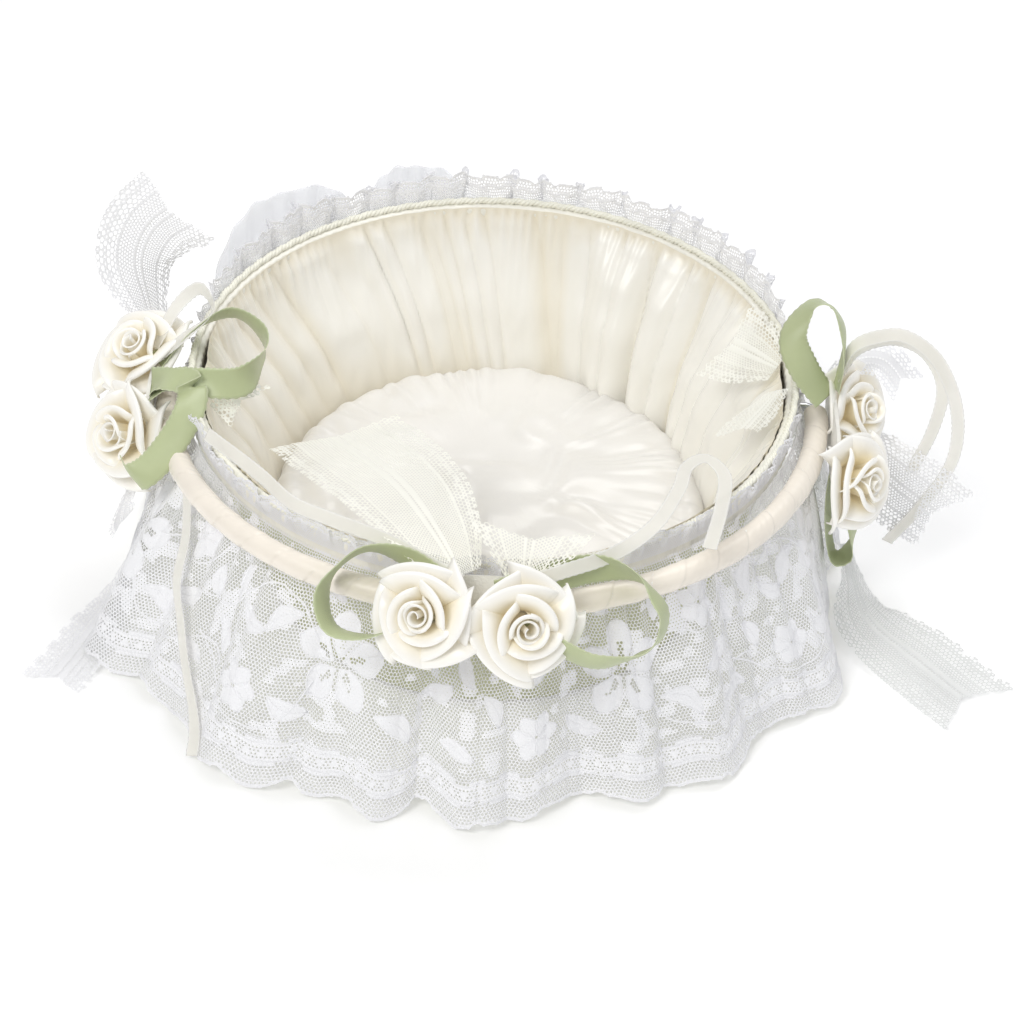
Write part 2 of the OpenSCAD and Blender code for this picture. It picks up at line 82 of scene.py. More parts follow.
def node_material(name, color, rough, vary, vary_scale, bump, alpha=1.0, glow=None, **sockets):
    """A cloth-like material: a slightly varied colour, a fine bump, and fixed shader values. bump is a kind
    (weave, rib or noise), its scale and its strength, and glow an emission colour and strength. Weaves and
    ribs follow the UVs, which are in mm."""
    m = bpy.data.materials.new(name)
    m.use_nodes = True
    nodes, link = m.node_tree.nodes, m.node_tree.links.new
    bsdf = nodes["Principled BSDF"]

    def add(kind, **values):
        node = nodes.new("ShaderNode" + kind)
        for key, value in values.items():
            node.inputs[key].default_value = value
        return node

    coord = add("TexCoord")
    noise = add("TexNoise", Scale=vary_scale, Detail=4.0)
    link(coord.outputs["Object"], noise.inputs["Vector"])
    ramp = add("ValToRGB")
    for stop, place, share in zip(ramp.color_ramp.elements, (0.3, 0.7), (1 - vary, 1 + vary * 0.6)):
        stop.position = place
        stop.color = [min(1, c * share) for c in color] + [1]
    link(noise.outputs["Fac"], ramp.inputs["Fac"])
    link(ramp.outputs["Color"], bsdf.inputs["Base Color"])
    bsdf.inputs["Roughness"].default_value = rough
    bsdf.inputs["Alpha"].default_value = alpha
    if glow:
        sockets.update(Emission_Color=[*glow[:3], 1], Emission_Strength=glow[3])
    for key, value in sockets.items():
        bsdf.inputs[key.replace("_", " ")].default_value = value
    kind, scale, strength = bump
    relief = add("Bump", Strength=strength, Distance=BUMP_DEPTH)
    if kind == "noise":
        grain = add("TexNoise", Scale=scale, Detail=6.0)
        link(coord.outputs["Object"], grain.inputs["Vector"])
        heights = [grain.outputs["Fac"]]
    else:
        directions, distortion, detail = WAVES[kind]
        uv, heights = add("UVMap"), []
        for direction in directions:
            wave = add("TexWave", Scale=scale, Distortion=distortion, Detail=detail)
            wave.bands_direction = direction
            link(uv.outputs["UV"], wave.inputs["Vector"])
            heights.append(wave.outputs["Fac"])
    if len(heights) == 2:
        total = add("Math")
        link(heights[0], total.inputs[0])
        link(heights[1], total.inputs[1])
        heights = [total.outputs["Value"]]
    link(heights[0], relief.inputs["Height"])
    link(relief.outputs["Normal"], bsdf.inputs["Normal"])
    return m


def tint_and_painted_shade(material, color, start, full):
    """Turns a material to another colour as the piece's own 'across' attribute goes from start to full: a
    ribbon towards its selvedges, a petal towards its lip, the lining towards its folds' crests. For petals
    and lining the warm base colour is painted shade in the creases and fold valleys."""
    nodes, links = material.node_tree.nodes, material.node_tree.links
    bsdf = nodes["Principled BSDF"]
    base = bsdf.inputs["Base Color"].links[0].from_socket
    across = nodes.new("ShaderNodeAttribute")
    across.attribute_name = "across"
    step = nodes.new("ShaderNodeMapRange")
    step.inputs["From Min"].default_value = start
    step.inputs["From Max"].default_value = full
    links.new(across.outputs["Fac"], step.inputs["Value"])
    mix = nodes.new("ShaderNodeMix")
    mix.data_type = "RGBA"
    links.new(step.outputs["Result"], mix.inputs["Factor"])
    links.new(base, mix.inputs["A"])
    mix.inputs["B"].default_value = color + [1]
    links.new(mix.outputs["Result"], bsdf.inputs["Base Color"])


IVORY = node_material("ivory_satin", [0.935, 0.915, 0.835], 0.34, 0.03, 40, ("weave", 1.2, 0.05),
                      Sheen_Weight=0.25, Sheen_Roughness=0.4, Anisotropic=0.35)
# The lining's warm base colour is painted shade in its fold valleys; the tint below lightens it towards the
# crests.
LINING = node_material("lining_satin", [0.885, 0.81, 0.635], 0.27, 0.03, 40, ("weave", 1.2, 0.05),
                       Sheen_Weight=0.2, Sheen_Roughness=0.4, Anisotropic=0.35)
tint_and_painted_shade(LINING, [0.955, 0.935, 0.87], 0.0, 0.62)
PAD = node_material("pad_satin", [0.845, 0.825, 0.785], 0.32, 0.03, 40, ("noise", 900, 0.06),
                    Sheen_Weight=0.25, Sheen_Roughness=0.4)
# The cover's own colour is a pale sage, darkened further as painted shade for the shadow it lies in under the
# lace.
COVER = node_material("cover_satin", [0.68, 0.69, 0.45], 0.42, 0.05, 50, ("noise", 900, 0.08),
                      Sheen_Weight=0.2)
WRAP = node_material("wrap_satin", [0.93, 0.86, 0.755], 0.27, 0.05, 70, ("rib", 1.1, 0.12),
                     Sheen_Weight=0.25, Anisotropic=0.3)
# The rose's warm yellow base colour is painted shade in the creases between petals, lightened towards the lips
# by the tint below; its glow is painted light.
ROSE = node_material("rose_satin", [0.90, 0.79, 0.52], 0.26, 0.02, 90, ("noise", 1500, 0.05),
                     Sheen_Weight=0.2, glow=(1, 0.96, 0.84, 0.06))
tint_and_painted_shade(ROSE, [0.955, 0.94, 0.895], 0.2, 0.72)
GREEN = node_material("green_satin", [0.53, 0.59, 0.335], 0.27, 0.05, 80, ("rib", 1.4, 0.35),
                      Sheen_Weight=0.15, Anisotropic=0.4)
tint_and_painted_shade(GREEN, [0.66, 0.71, 0.47], 0.88, 1.0)
# The sheer ribbon's glow is painted light.
SHEER = node_material("sheer_ribbon", [0.965, 0.945, 0.87], 0.40, 0.03, 90, ("weave", 2.4, 0.3),
                      alpha=0.66, Sheen_Weight=0.4, glow=(1, 0.98, 0.92, 0.05))
tint_and_painted_shade(SHEER, [1.0, 0.99, 0.95], 0.70, 0.9)
# The lace threads' glow is painted light that brightens them as if lit through.
LACE = node_material("lace_thread", [0.89, 0.89, 0.905], 0.62, 0.015, 120, ("noise", 2500, 0.2),
                     Sheen_Weight=0.35, glow=(0.95, 0.95, 1, 0.06))
CREAM_LACE = node_material("cream_lace_thread", [0.91, 0.90, 0.82], 0.62, 0.02, 120, ("noise", 2500, 0.2),
                           Sheen_Weight=0.35, glow=(1, 0.99, 0.9, 0.05))
# A darker copy of the lace thread without glow, for the right tail on the floor: the darkening is painted
# shade.
SHADED_LACE = node_material("painted_shade_lace_thread", [0.80, 0.81, 0.80], 0.62, 0.015, 120, ("noise", 2500, 0.2),
                     Sheen_Weight=0.2)
# The organza's glow is painted light.
ORGANZA = node_material("organza", [0.92, 0.925, 0.94], 0.4, 0.03, 60, ("weave", 2.0, 0.3),
                        alpha=0.33, Sheen_Weight=0.5, glow=(0.95, 0.96, 1, 0.12))
CORD = node_material("cord_rayon", [0.95, 0.935, 0.82], 0.40, 0.05, 120, ("noise", 1800, 0.3),
                     Sheen_Weight=0.4)
FELT = node_material("felt", [0.86, 0.84, 0.78], 0.85, 0.05, 200, ("noise", 1200, 0.8), Sheen_Weight=0.5)
CARD = node_material("pressed_card", [0.48, 0.45, 0.40], 0.9, 0.08, 90, ("noise", 700, 0.5))
FOAM = node_material("foam", [0.92, 0.90, 0.85], 0.9, 0.04, 90, ("noise", 1100, 0.8))
WIRE = node_material("drawn_wire", [0.55, 0.55, 0.56], 0.3, 0.04, 90, ("noise", 500, 0.1), Metallic=1.0)
BRASS = node_material("brass", [0.75, 0.58, 0.28], 0.25, 0.06, 90, ("noise", 500, 0.1), Metallic=1.0)


# ---------------------------------------------------------------- mesh building

def make(name, verts, quads, mat, body, slot, replaces=(), tris=None, uv=None, across=None):
    """A mesh piece from points and index arrays. It rides one body; a piece tied at the hinge is left where it
    is, on no body."""
    verts = np.asarray(verts, float) * MM
    name = name + "_cloth" if name in frame["nodes"] else name
    parts = [(np.asarray(f, np.int32), n) for f, n in ((quads, 4), (tris, 3)) if f is not None]
    loops = np.concatenate([f.ravel() for f, _ in parts]).astype(np.int32)
    sizes = np.concatenate([np.full(len(f), n) for f, n in parts])
    me = bpy.data.meshes.new(name)
    me.vertices.add(len(verts))
    me.vertices.foreach_set("co", verts.ravel())
    me.loops.add(len(loops))
    me.loops.foreach_set("vertex_index", loops)
    me.polygons.add(len(sizes))
    me.polygons.foreach_set("loop_start", np.concatenate([[0], np.cumsum(sizes)[:-1]]).astype(np.int32))
    me.update(calc_edges=True)
    me.validate()
    me.shade_smooth()
    if uv is not None:
        layer = me.uv_layers.new(name="UVMap")
        index = np.empty(len(me.loops), np.int32)
        me.loops.foreach_get("vertex_index", index)
        layer.data.foreach_set("uv", np.asarray(uv, float)[index].ravel())
    if across is not None:
        attribute = me.attributes.new("across", "FLOAT", "POINT")
        attribute.data.foreach_set("value", np.asarray(across, np.float32))
    me.materials.append(mat)
    ob = bpy.data.objects.new(name, me)
    bpy.context.scene.collection.objects.link(ob)
    if replaces and replaces[0] in ACROSS_HINGE:
        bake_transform(ob)
    else:
        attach(ob, body)
    if replaces:
        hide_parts(*replaces)
    return ob


def around(n):
    """n even turns of a circle."""
    return np.linspace(0, 2 * pi, n, endpoint=False)


def grid_quads(rows, cols, wrap=False):
    """Quads of a rows by cols grid of points, with the last column joined to the first if wrap."""
    i, j = np.meshgrid(np.arange(rows - 1), np.arange(cols if wrap else cols - 1), indexing="ij")
    k = (j + 1) % cols
    return np.stack([i * cols + j, i * cols + k, (i + 1) * cols + k, (i + 1) * cols + j], -1).reshape(-1, 4)


def merge(parts):
    """Joins (verts, quads) parts into one pair of arrays."""
    verts, quads, n = [], [], 0
    for v, q in parts:
        v = np.asarray(v, float)
        verts.append(v)
        quads.append(np.asarray(q) + n)
        n += len(v)
    return np.concatenate(verts), np.concatenate(quads)


def unit(v):
    v = np.asarray(v, float)
    return v / np.maximum(np.linalg.norm(v, axis=-1, keepdims=True), 1e-9)


def spline(points, steps):
    """Catmull-Rom through the points."""
    p = np.asarray(points, float)
    p = np.vstack([2 * p[0] - p[1], p, 2 * p[-1] - p[-2]])
    t = np.linspace(0, 1, steps, endpoint=False)[:, None]
    out = [0.5 * (2 * b + (c - a) * t + (2 * a - 5 * b + 4 * c - d) * t ** 2
                  + (3 * b - a - 3 * c + d) * t ** 3)
           for a, b, c, d in zip(p[:-3], p[1:-2], p[2:-1], p[3:])]
    return np.vstack(out + [p[-2:-1]])


def resample(line, n, *others):
    """n points at equal distances along a polyline, and the other arrays at the same places."""
    s = np.concatenate([[0], np.cumsum(np.linalg.norm(np.diff(line, axis=0), axis=1))])
    at = np.linspace(0, s[-1], n)
    pick = [np.stack([np.interp(at, s, column) for column in a.T], -1) for a in (line, *others)]
    return (s[-1], *pick)


def ring_tube(path, radius, sides):
    """A tube of a radius along a closed path."""
    path = np.asarray(path, float)
    n = len(path)
    tangent = unit(np.roll(path, -1, 0) - np.roll(path, 1, 0))
    normal = np.zeros_like(path)
    across = np.array([0.0, 0, 1])
    for i in range(n):
        across = unit(across - tangent[i] * (across @ tangent[i]))
        normal[i] = across
    side = np.cross(tangent, normal)
    a = around(sides)[None, :, None]
    rings = path[:, None] + radius * (np.cos(a) * normal[:, None] + np.sin(a) * side[:, None])
    i, j = np.meshgrid(np.arange(n), np.arange(sides), indexing="ij")
    ni, nj = (i + 1) % n, (j + 1) % sides
    quads = np.stack([i * sides + j, i * sides + nj, ni * sides + nj, ni * sides + j], -1).reshape(-1, 4)
    return rings.reshape(-1, 3), quads


def noise1(x, seed):
    """Smooth noise of about -1..1 along a line."""
    out = np.zeros_like(np.asarray(x, float))
    r = np.random.default_rng(seed)
    for k in range(3):
        f = 2 ** k
        table = r.uniform(-1, 1, 4096)
        y = np.asarray(x, float) * f + 1000.5
        i = np.floor(y).astype(int)
        t = y - i
        t = t * t * (3 - 2 * t)
        out += (table[i % 4096] * (1 - t) + table[(i + 1) % 4096] * t) / f
    return out / 1.6


# ---------------------------------------------------------------- lace

class Sheet:
    """A surface known at a grid of points: rows down the cloth, columns along it. Sizes are flat ones."""

    def __init__(self, grid, length, height):
        self.grid, self.length, self.height = grid, length, height
        du = np.gradient(grid, axis=1)
        dv = np.gradient(grid, axis=0)
        self.normal = unit(np.cross(dv, du))

    def at(self, u, v, lift):
        """The points at flat places (u, v), lifted off the cloth."""
        rows, cols = self.grid.shape[:2]
        x = np.clip(np.asarray(u) / self.length, 0, 1) * (cols - 1)
        y = np.clip(np.asarray(v) / self.height, 0, 1) * (rows - 1)
        i, j = np.minimum(y.astype(int), rows - 2), np.minimum(x.astype(int), cols - 2)
        a, b = (y - i)[..., None], (x - j)[..., None]

        def mix(g):
            return ((g[i, j] * (1 - b) + g[i, j + 1] * b) * (1 - a)
                    + (g[i + 1, j] * (1 - b) + g[i + 1, j + 1] * b) * a)

        return mix(self.grid) + mix(self.normal) * np.asarray(lift)[..., None]


def net(sheet, pitch, hole, inside, u0, u1, thick=NET_THREAD):
    """A knitted net on a sheet: hexagon cells, each with a hole of its own size. hole(u, v) gives the share
    of the cell that is open, 0 for solid work, and inside(u, v) says where the cloth is."""
    row = pitch * 0.8660254
    i, j = np.meshgrid(np.arange(int((u1 - u0) / pitch) + 2), np.arange(int(sheet.height / row) + 2),
                       indexing="ij")
    cu = u0 + (i + 0.5 * (j % 2)).ravel() * pitch
    cv = j.ravel() * row
    keep = inside(cu, cv) & (cu <= u1 + 1e-6)
    cu, cv = cu[keep], cv[keep]
    ang = np.radians(30 + 60 * np.arange(6))
    ku, kv = pitch / sqrt(3) * np.cos(ang), pitch / sqrt(3) * np.sin(ang)
    pu, pv = cu[:, None] + ku, cv[:, None] + kv
    key = np.round(pu / pitch * 6).astype(np.int64) * 1000003 + np.round(pv / row * 6).astype(np.int64)
    _, first, inverse = np.unique(key.ravel(), return_index=True, return_inverse=True)
    corner = inverse.reshape(-1, 6)
    size = hole(cu, cv)
    open_cell = size > 0.05
    verts = [sheet.at(pu.ravel()[first], pv.ravel()[first], np.full(len(first), thick))]
    hu = (cu[:, None] + ku * size[:, None])[open_cell]
    hv = (cv[:, None] + kv * size[:, None])[open_cell]
    verts.append(sheet.at(hu.ravel(), hv.ravel(), np.full(hu.size, -thick * 0.3)))
    inner = len(first) + np.arange(hu.size).reshape(-1, 6)
    outer = corner[open_cell]
    rings = np.stack([outer, np.roll(outer, -1, 1), np.roll(inner, -1, 1), inner], -1).reshape(-1, 4)
    solid = corner[~open_cell]
    caps = np.concatenate([solid[:, [0, 1, 2, 3]], solid[:, [0, 3, 4, 5]]])
    return np.concatenate(verts), np.concatenate([rings, caps])


def outline(sheet, u, v, width, height):
    """A raised thread laid on a sheet along the flat path (u, v)."""
    u, v = np.asarray(u, float), np.asarray(v, float)
    side = unit(np.stack([-np.gradient(v), np.gradient(u)], -1)) * width / 2
    rows = [sheet.at(u + k * side[:, 0], v + k * side[:, 1], np.full(len(u), lift))
            for k, lift in ((1, 0.05), (0, height), (-1, 0.05))]
    return np.stack(rows).reshape(-1, 3), grid_quads(3, len(u))


def slab(grid, thick):
    """A closed sheet of a thickness from a grid of points."""
    rows, cols = grid.shape[:2]
    n = unit(np.cross(np.gradient(grid, axis=0), np.gradient(grid, axis=1))) * thick / 2
    top = grid_quads(rows, cols)
    k = rows * cols
    ring = np.concatenate([np.arange(cols), np.arange(1, rows) * cols + cols - 1,
                           (rows - 1) * cols + np.arange(cols - 2, -1, -1),
                            np.arange(rows - 2, 0, -1) * cols])
    after = np.roll(ring, -1)
    edge = np.stack([ring, ring + k, after + k, after], -1)
    verts = np.concatenate([(grid + n).reshape(-1, 3), (grid - n).reshape(-1, 3)])
    return verts, np.concatenate([top[:, ::-1], top + k, edge[:, ::-1]])


def smooth(x):
    """A smooth step from 0 to 1 as x does."""
    x = np.clip(x, 0, 1)
    return x * x * (3 - 2 * x)


def ring_point(r, turn, z):
    """Points a turn (radians, from the front, to the right) round the tub."""
    r, turn, z = np.broadcast_arrays(r, turn, z)
    return np.stack([r * np.sin(turn), -r * np.cos(turn), z], -1)


def wall_r(z):
    """The board wall's outer radius."""
    return 76 + 24 * (np.asarray(z, float) - 1) / 76


def noise2(x, y, seed):
    """Smooth noise of about -1..1 over a plane."""
    r = np.random.default_rng(seed)
    table = r.uniform(-1, 1, (64, 64))
    i, j = np.floor(x).astype(int), np.floor(y).astype(int)
    a, b = smooth(x - i), smooth(y - j)
    t = lambda p, q: table[(i + p) % 64, (j + q) % 64]
    return (t(0, 0) * (1 - a) + t(1, 0) * a) * (1 - b) + (t(0, 1) * (1 - a) + t(1, 1) * a) * b


def ring_noise(turn, scale, seed, octaves=2):
    """Noise round the tub that closes on itself: scale is the number of waves in a turn."""
    x, y = scale / 6.283 * np.cos(turn), scale / 6.283 * np.sin(turn)
    return sum(noise2(x * 2 ** k + 17.3, y * 2 ** k + 9.1, seed + k) / 2 ** k for k in range(octaves))


def even_ring(shape, rows, cols, gores, start=pi):
    """A closed ring of cloth: shape(turn, t) at rows of t, with every row's points evenly spaced within
    each gore and every column's points evenly spaced down its length. The last column repeats the first."""
    out = np.zeros((rows, gores * cols + 1, 3))
    dense = np.linspace(0, 1, 300)
    for i, t in enumerate(np.linspace(0, 1, rows)):
        for g in range(gores):
            turn = start + 2 * pi * (g + dense) / gores
            p = shape(turn, np.full(len(turn), t))
            out[i, g * cols:(g + 1) * cols + 1] = resample(p, cols + 1)[1]
    for j in range(out.shape[1]):
        out[:, j] = resample(out[:, j], rows)[1]
    return out


# ---------------------------------------------------------------- camera, light and floor

# The camera that was fitted to the photograph: place, target, lens and roll in degrees.
CAMERA_PLACE, CAMERA_TARGET = (7.7, -690.2, 595.9), (7.708, 0, 18.244)
CAMERA_LENS, CAMERA_ROLL = 90.77, 2.05
# Each light's name, place in metres, disc size in metres, watts and colour.
LIGHTS = (("key", (-0.55, -0.75, 1.15), 0.7, 8.4, (1, 0.995, 0.98)),
          ("fill", (0.9, -0.5, 0.8), 1.1, 1.8, (0.97, 0.98, 1)),
          ("top", (0.25, 0.5, 1.2), 0.7, 5.4, (1, 1, 1)))
LIGHT_TARGET = (0, 0, 0.04)
FLOOR_R = 3000


def stage_object(name, data):
    ob = bpy.data.objects.new(name, data)
    bpy.context.scene.collection.objects.link(ob)
    return ob


def add_camera():
    data = bpy.data.cameras.new("camera")
    data.lens, data.sensor_width = CAMERA_LENS, 36.0
    ob = stage_object("camera", data)
    place, target = np.array(CAMERA_PLACE) * MM, np.array(CAMERA_TARGET) * MM
    look = Vector(target - place).to_track_quat("-Z", "Y").to_matrix().to_4x4()
    ob.matrix_world = Matrix.Translation(place) @ look @ Matrix.Rotation(radians(CAMERA_ROLL), 4, "Z")
    bpy.context.scene.camera = ob


def add_light(name, place, size, watts, color):
    data = bpy.data.lights.new(name, "AREA")
    data.shape, data.size, data.energy, data.color = "DISK", size, watts, color
    ob = stage_object(name, data)
    ob.location = place
    ob.rotation_euler = (Vector(LIGHT_TARGET) - Vector(place)).to_track_quat("-Z", "Y").to_euler()


def add_floor():
    rings, sides = 48, 96
    turn = around(sides)
    g = ring_point(np.linspace(0, FLOOR_R, rings)[:, None] + 1e-3, turn[None, :], 0.0)
    me = bpy.data.meshes.new("floor")
    me.from_pydata((g.reshape(-1, 3) * MM).tolist(), [], grid_quads(rings, sides, True).tolist())
    me.materials.append(node_material("studio_floor", [0.96, 0.96, 0.96], 0.9, 0.004, 6, ("noise", 300, 0.02),
                                      glow=(1, 1, 1, 0.16)))
    stage_object("floor", me)


add_camera()
for light in LIGHTS:
    add_light(*light)
add_floor()
world = bpy.data.worlds.new("studio")
bpy.context.scene.world = world
world.use_nodes = True
world.node_tree.nodes["Background"].inputs["Color"].default_value = (0.97, 0.975, 1, 1)
world.node_tree.nodes["Background"].inputs["Strength"].default_value = 0.42
bpy.context.scene.view_settings.view_transform = "Standard"

# ---------------------------------------------------------------- lace patterns

# The hem's radius at turns in degrees from the front, read from the photograph where it shows.
HEM = [(-180, 123), (-163, 127), (-150, 120), (-134, 126), (-120, 120), (-105, 125), (-92, 121), (-79, 126),
       (-65, 145), (-60, 142), (-55, 137), (-50, 129), (-43, 141), (-38, 142), (-33, 138), (-29, 140),
       (-25, 138), (-21, 128), (-18, 131), (-14, 136), (-10, 133), (-7, 128), (-3, 134), (1, 137), (5, 132),
       (9, 129), (13, 125), (18, 126), (24, 133), (27, 130), (33, 131), (35, 136), (42, 133), (49, 125),
       (53, 131), (58, 138), (61, 135), (70, 125), (79, 117), (92, 122), (105, 118), (119, 125), (133, 119),
       (147, 126), (162, 120), (180, 123)]


def hem_r(turn):
    deg = (np.degrees(turn) + 180) % 360 - 180
    x, y = np.array(HEM, float).T
    return sum(np.interp(deg + o, x, y, period=360) * w for o, w in ((-2, .25), (0, .5), (2, .25)))


SKIRT_L, SKIRT_H, TILES = 960.0, 86.0, 8  # the skirt's flat size, and how often its pattern repeats
TILE = SKIRT_L / TILES
SKIRT_PITCH, SKIRT_THREAD = 1.35, 0.12
SCALLOP = 24  # one scallop of the skirt's edge
DOT_PITCH = 5.2


def lobe(x):
    """Gathers: round lobes with sharp valleys between them, of about -1..1, two to each whole number."""
    return 2 * np.abs(np.sin(0.5 * pi * x)) ** 0.75 - 1.25


def skirt_shape(turn, t):
    """The skirt's surface, t from 0 at the seam to 1 at the hem: two sets of falling folds, and the gathers of
    the seam that die away below it."""
    waist = SEAM_R + 1.2
    fall = np.clip((t - 0.05) / 0.95, 0, 1)
    r = waist + (hem_r(turn) - waist) * fall ** 0.82
    drape = lobe(26 * turn / 3.1416 + 0.8 * ring_noise(turn, 9, 3)) * (0.75 + 0.5 * ring_noise(turn, 14, 5))
    deep = lobe(17 * turn / 3.1416 + 0.7 * ring_noise(turn, 8, 4)) * (0.8 + 0.5 * ring_noise(turn, 10, 6))
    r = r + smooth(t * 1.6) * (3.0 * drape + 3.6 * deep) * (1 - 0.35 * t)
    gather = lobe(84 * turn / 3.1416 + 0.9 * ring_noise(turn, 25, 7)) * (0.8 + 0.4 * ring_noise(turn, 40, 8))
    r = r + 1.7 * gather * smooth(t * 9) * np.exp(-t * 1.6)
    r = r + 1.0 * ring_noise(turn, 60, 11) * smooth(t * 2)
    r = np.maximum(r, wall_r(75 * (1 - t)) + 3.0)
    z = SEAM_Z - 74.2 * t + 1.1 * smooth((t - 0.9) * 10) * (1 + np.sin(37 * turn + ring_noise(turn, 20, 9)))
    return ring_point(r, turn, np.maximum(z, 0.5))


def flower(u, v, out, angles, length, width):
    """Petals in a ring: each one's middle, angle, length, width and bend."""
    return [(u + out * cos(radians(a)), v + out * sin(radians(a)), a, length, width, 0.0)
            for a in angles]


# Petals and leaves of one repeat of the skirt's lace, and the stems between them.
LEAVES = flower(60, 36, 10.5, (-90, -18, 54, 126, 198), 17, 11.5)
LEAVES += flower(98, 20, 5, (-90, -30, 30, 90, 150, 210), 8, 6)
LEAVES += flower(22, 55, 5, (-60, 0, 60, 120, 180, 240), 8, 6)
LEAVES += [(33, 26, -35, 17, 6.5, 0.01), (20, 33, 20, 15, 6, -0.012), (8, 22, -70, 14, 6, 0.01),
           (42, 58, 20, 16, 6.5, -0.01), (6, 44, 65, 13, 5.5, 0.01), (86, 52, 35, 17, 7, 0.012),
           (103, 42, -25, 15, 6.5, -0.01), (112, 58, 10, 14, 6, 0.01), (80, 15, -60, 13, 5.5, 0.01),
           (114, 30, 75, 13, 5.5, -0.012), (52, 12, 15, 12, 5, 0.01)]
STEMS = [[(70, 47), (80, 60), (95, 63), (108, 56), (120, 50), (128, 54)],
         [(50, 47), (42, 60), (30, 66), (14, 64), (2, 54), (-6, 50)],
         [(49, 31), (40, 20), (26, 17), (14, 24), (4, 34), (-8, 36)],
         [(72, 31), (84, 27), (98, 30), (108, 24), (114, 14), (112, 8)]]


def leaf_half(s, width):
    """A leaf's half width at a share s of its length; petals are fuller towards their tips."""
    return width / 2 * np.sin(pi * s ** (1.25 if width > 9 else 1.0)).clip(0) ** 0.8


def leaf_local(u, v, leaf):
    """Flat places in a leaf's own frame: share of its length, distance from its midrib, half width there."""
    cu, cv, a, length, width, bend = leaf
    a = radians(a)
    x = (u - cu) * cos(a) + (v - cv) * sin(a)
    y = -(u - cu) * sin(a) + (v - cv) * cos(a) - bend * 4 * x * x
    s = x / length + 0.5
    return s, y, leaf_half(np.clip(s, 0, 1), width)


def leaf_line(leaf, s, y):
    """The flat path at shares s of a leaf's length and distances y from its midrib."""
    cu, cv, a, length, width, bend = leaf
    a, x = radians(a), (s - 0.5) * length
    y = y + bend * 4 * x * x
    return cu + x * cos(a) - y * sin(a), cv + x * sin(a) + y * cos(a)


def leaf_edge(leaf):
    s = np.linspace(0, 1, 15)
    half = leaf_half(s, leaf[4])
    return leaf_line(leaf, np.concatenate([s, s[::-1]]), np.concatenate([half, -half[::-1]]))


def edge_v(u):
    """The scalloped edge's distance down the cloth."""
    return SKIRT_H - 2.8 * (1 - np.abs(np.sin(pi * u / SCALLOP)) ** 0.7)


def border_wave(u):
    return 2.0 * np.cos(2 * pi * u / SCALLOP)


def skirt_hole(u, v):
    """How open each cell of the skirt's net is."""
    size = 0.67 + 0.10 * noise2(u / 13, v / 10, 72) + 0.06 * smooth((50 - v) / 30)
    size[noise2(u / 5, v / 4, 73) > 0.42] = 0.34
    tile = np.mod(u, TILE)
    for leaf in LEAVES:
        for shift in (-TILE, 0, TILE):
            s, y, half = leaf_local(tile + shift, v, leaf)
            inside = (s > 0) & (s < 1) & (np.abs(y) < half)
            if leaf[4] > 9:
                inside &= ~((np.abs(y) < 1.1) & (s > 0.15) & (s < 0.55))
            size[inside] = 0.12
    low, wave = edge_v(u), border_wave(u)
    for line, half in ((low - 15.5 + wave * 0.5, 0.8), (low - 9.0 + wave * 0.3, 0.8)):
        size[np.abs(v - line) < half] = 0.15
    band = (v > low - 14.6 + wave * 0.5) & (v < low - 9.8 + wave * 0.3)
    dot = np.hypot(np.mod(u, DOT_PITCH) - DOT_PITCH / 2, v - (low - 12.2 + wave * 0.4)) < 1.15
    size[band] = 0.5
    size[band & dot] = 0.0
    size[v > low - 8] = 0.64
    size[v > low - 1.1] = 0.3
    return size


def skirt_cords(sheet, u0, u1):
    """The raised threads: round each leaf and petal, down the midribs, along the stems and the border."""
    parts = []
    for start in np.arange(int(u0 / TILE) - 1, int(u1 / TILE) + 2) * TILE:
        for leaf in LEAVES:
            u, v = leaf_edge(leaf)
            u = u + start
            if u.min() >= u0 and u.max() < u1:
                parts.append(outline(sheet, u, v, 0.62, 0.34))
                if leaf[4] < 9 and leaf[3] > 10:
                    u, v = leaf_line(leaf, np.linspace(0, 0.92, 7), 0.0)
                    parts.append(outline(sheet, start + u, v, 0.4, 0.26))
        for stem in STEMS:
            p = spline(stem, 8)
            u = p[:, 0] + start
            if u.min() >= u0 - 1 and u.max() < u1 + 1:
                parts.append(outline(sheet, np.clip(u, u0, u1), p[:, 1], 0.75, 0.4))
    u = np.arange(u0, u1 + 0.1, 0.8)
    low, wave = edge_v(u), border_wave(u)
    for v, width in ((low - 0.5, 0.9), (low - 15.5 + wave * 0.5, 0.5), (low - 9.0 + wave * 0.3, 0.5),
                     (low - 7.6 + wave * 0.3, 0.4), (low - 17.2 + wave * 0.5, 0.4)):
        parts.append(outline(sheet, u, v, width, 0.34))
    return parts


def build_skirt():
    grid = even_ring(skirt_shape, 60, 150, TILES)
    sheet = Sheet(grid, SKIRT_L, SKIRT_H)
    for k, name in enumerate(("lace_skirt_back_left", "lace_skirt_front_left", "lace_skirt_front_right",
                              "lace_skirt_back_right")):
        u0, u1 = k * SKIRT_L / 4, (k + 1) * SKIRT_L / 4
        inside = lambda u, v: (v > 0.2) & (v < edge_v(u) - 0.2) & (u >= u0) & (u < u1)
        verts, quads = net(sheet, SKIRT_PITCH, skirt_hole, inside, u0, u1, SKIRT_THREAD)
        cords = make(name + "_cords", *merge(skirt_cords(sheet, u0, u1)), LACE, "basket", "lace")
        ob = make(name, verts, quads, LACE, "basket", "lace", ("lace_skirt",))


# ---------------------------------------------------------------- tub

def ring_grid(radius, height, rows, cols):
    """A closed ring surface from radius(turn, t) and height(turn, t)."""
    turn = around(cols)[None, :]
    t = np.linspace(0, 1, rows)[:, None]
    turn, t = np.broadcast_arrays(turn, t)
    return ring_point(radius(turn, t), turn, height(turn, t))


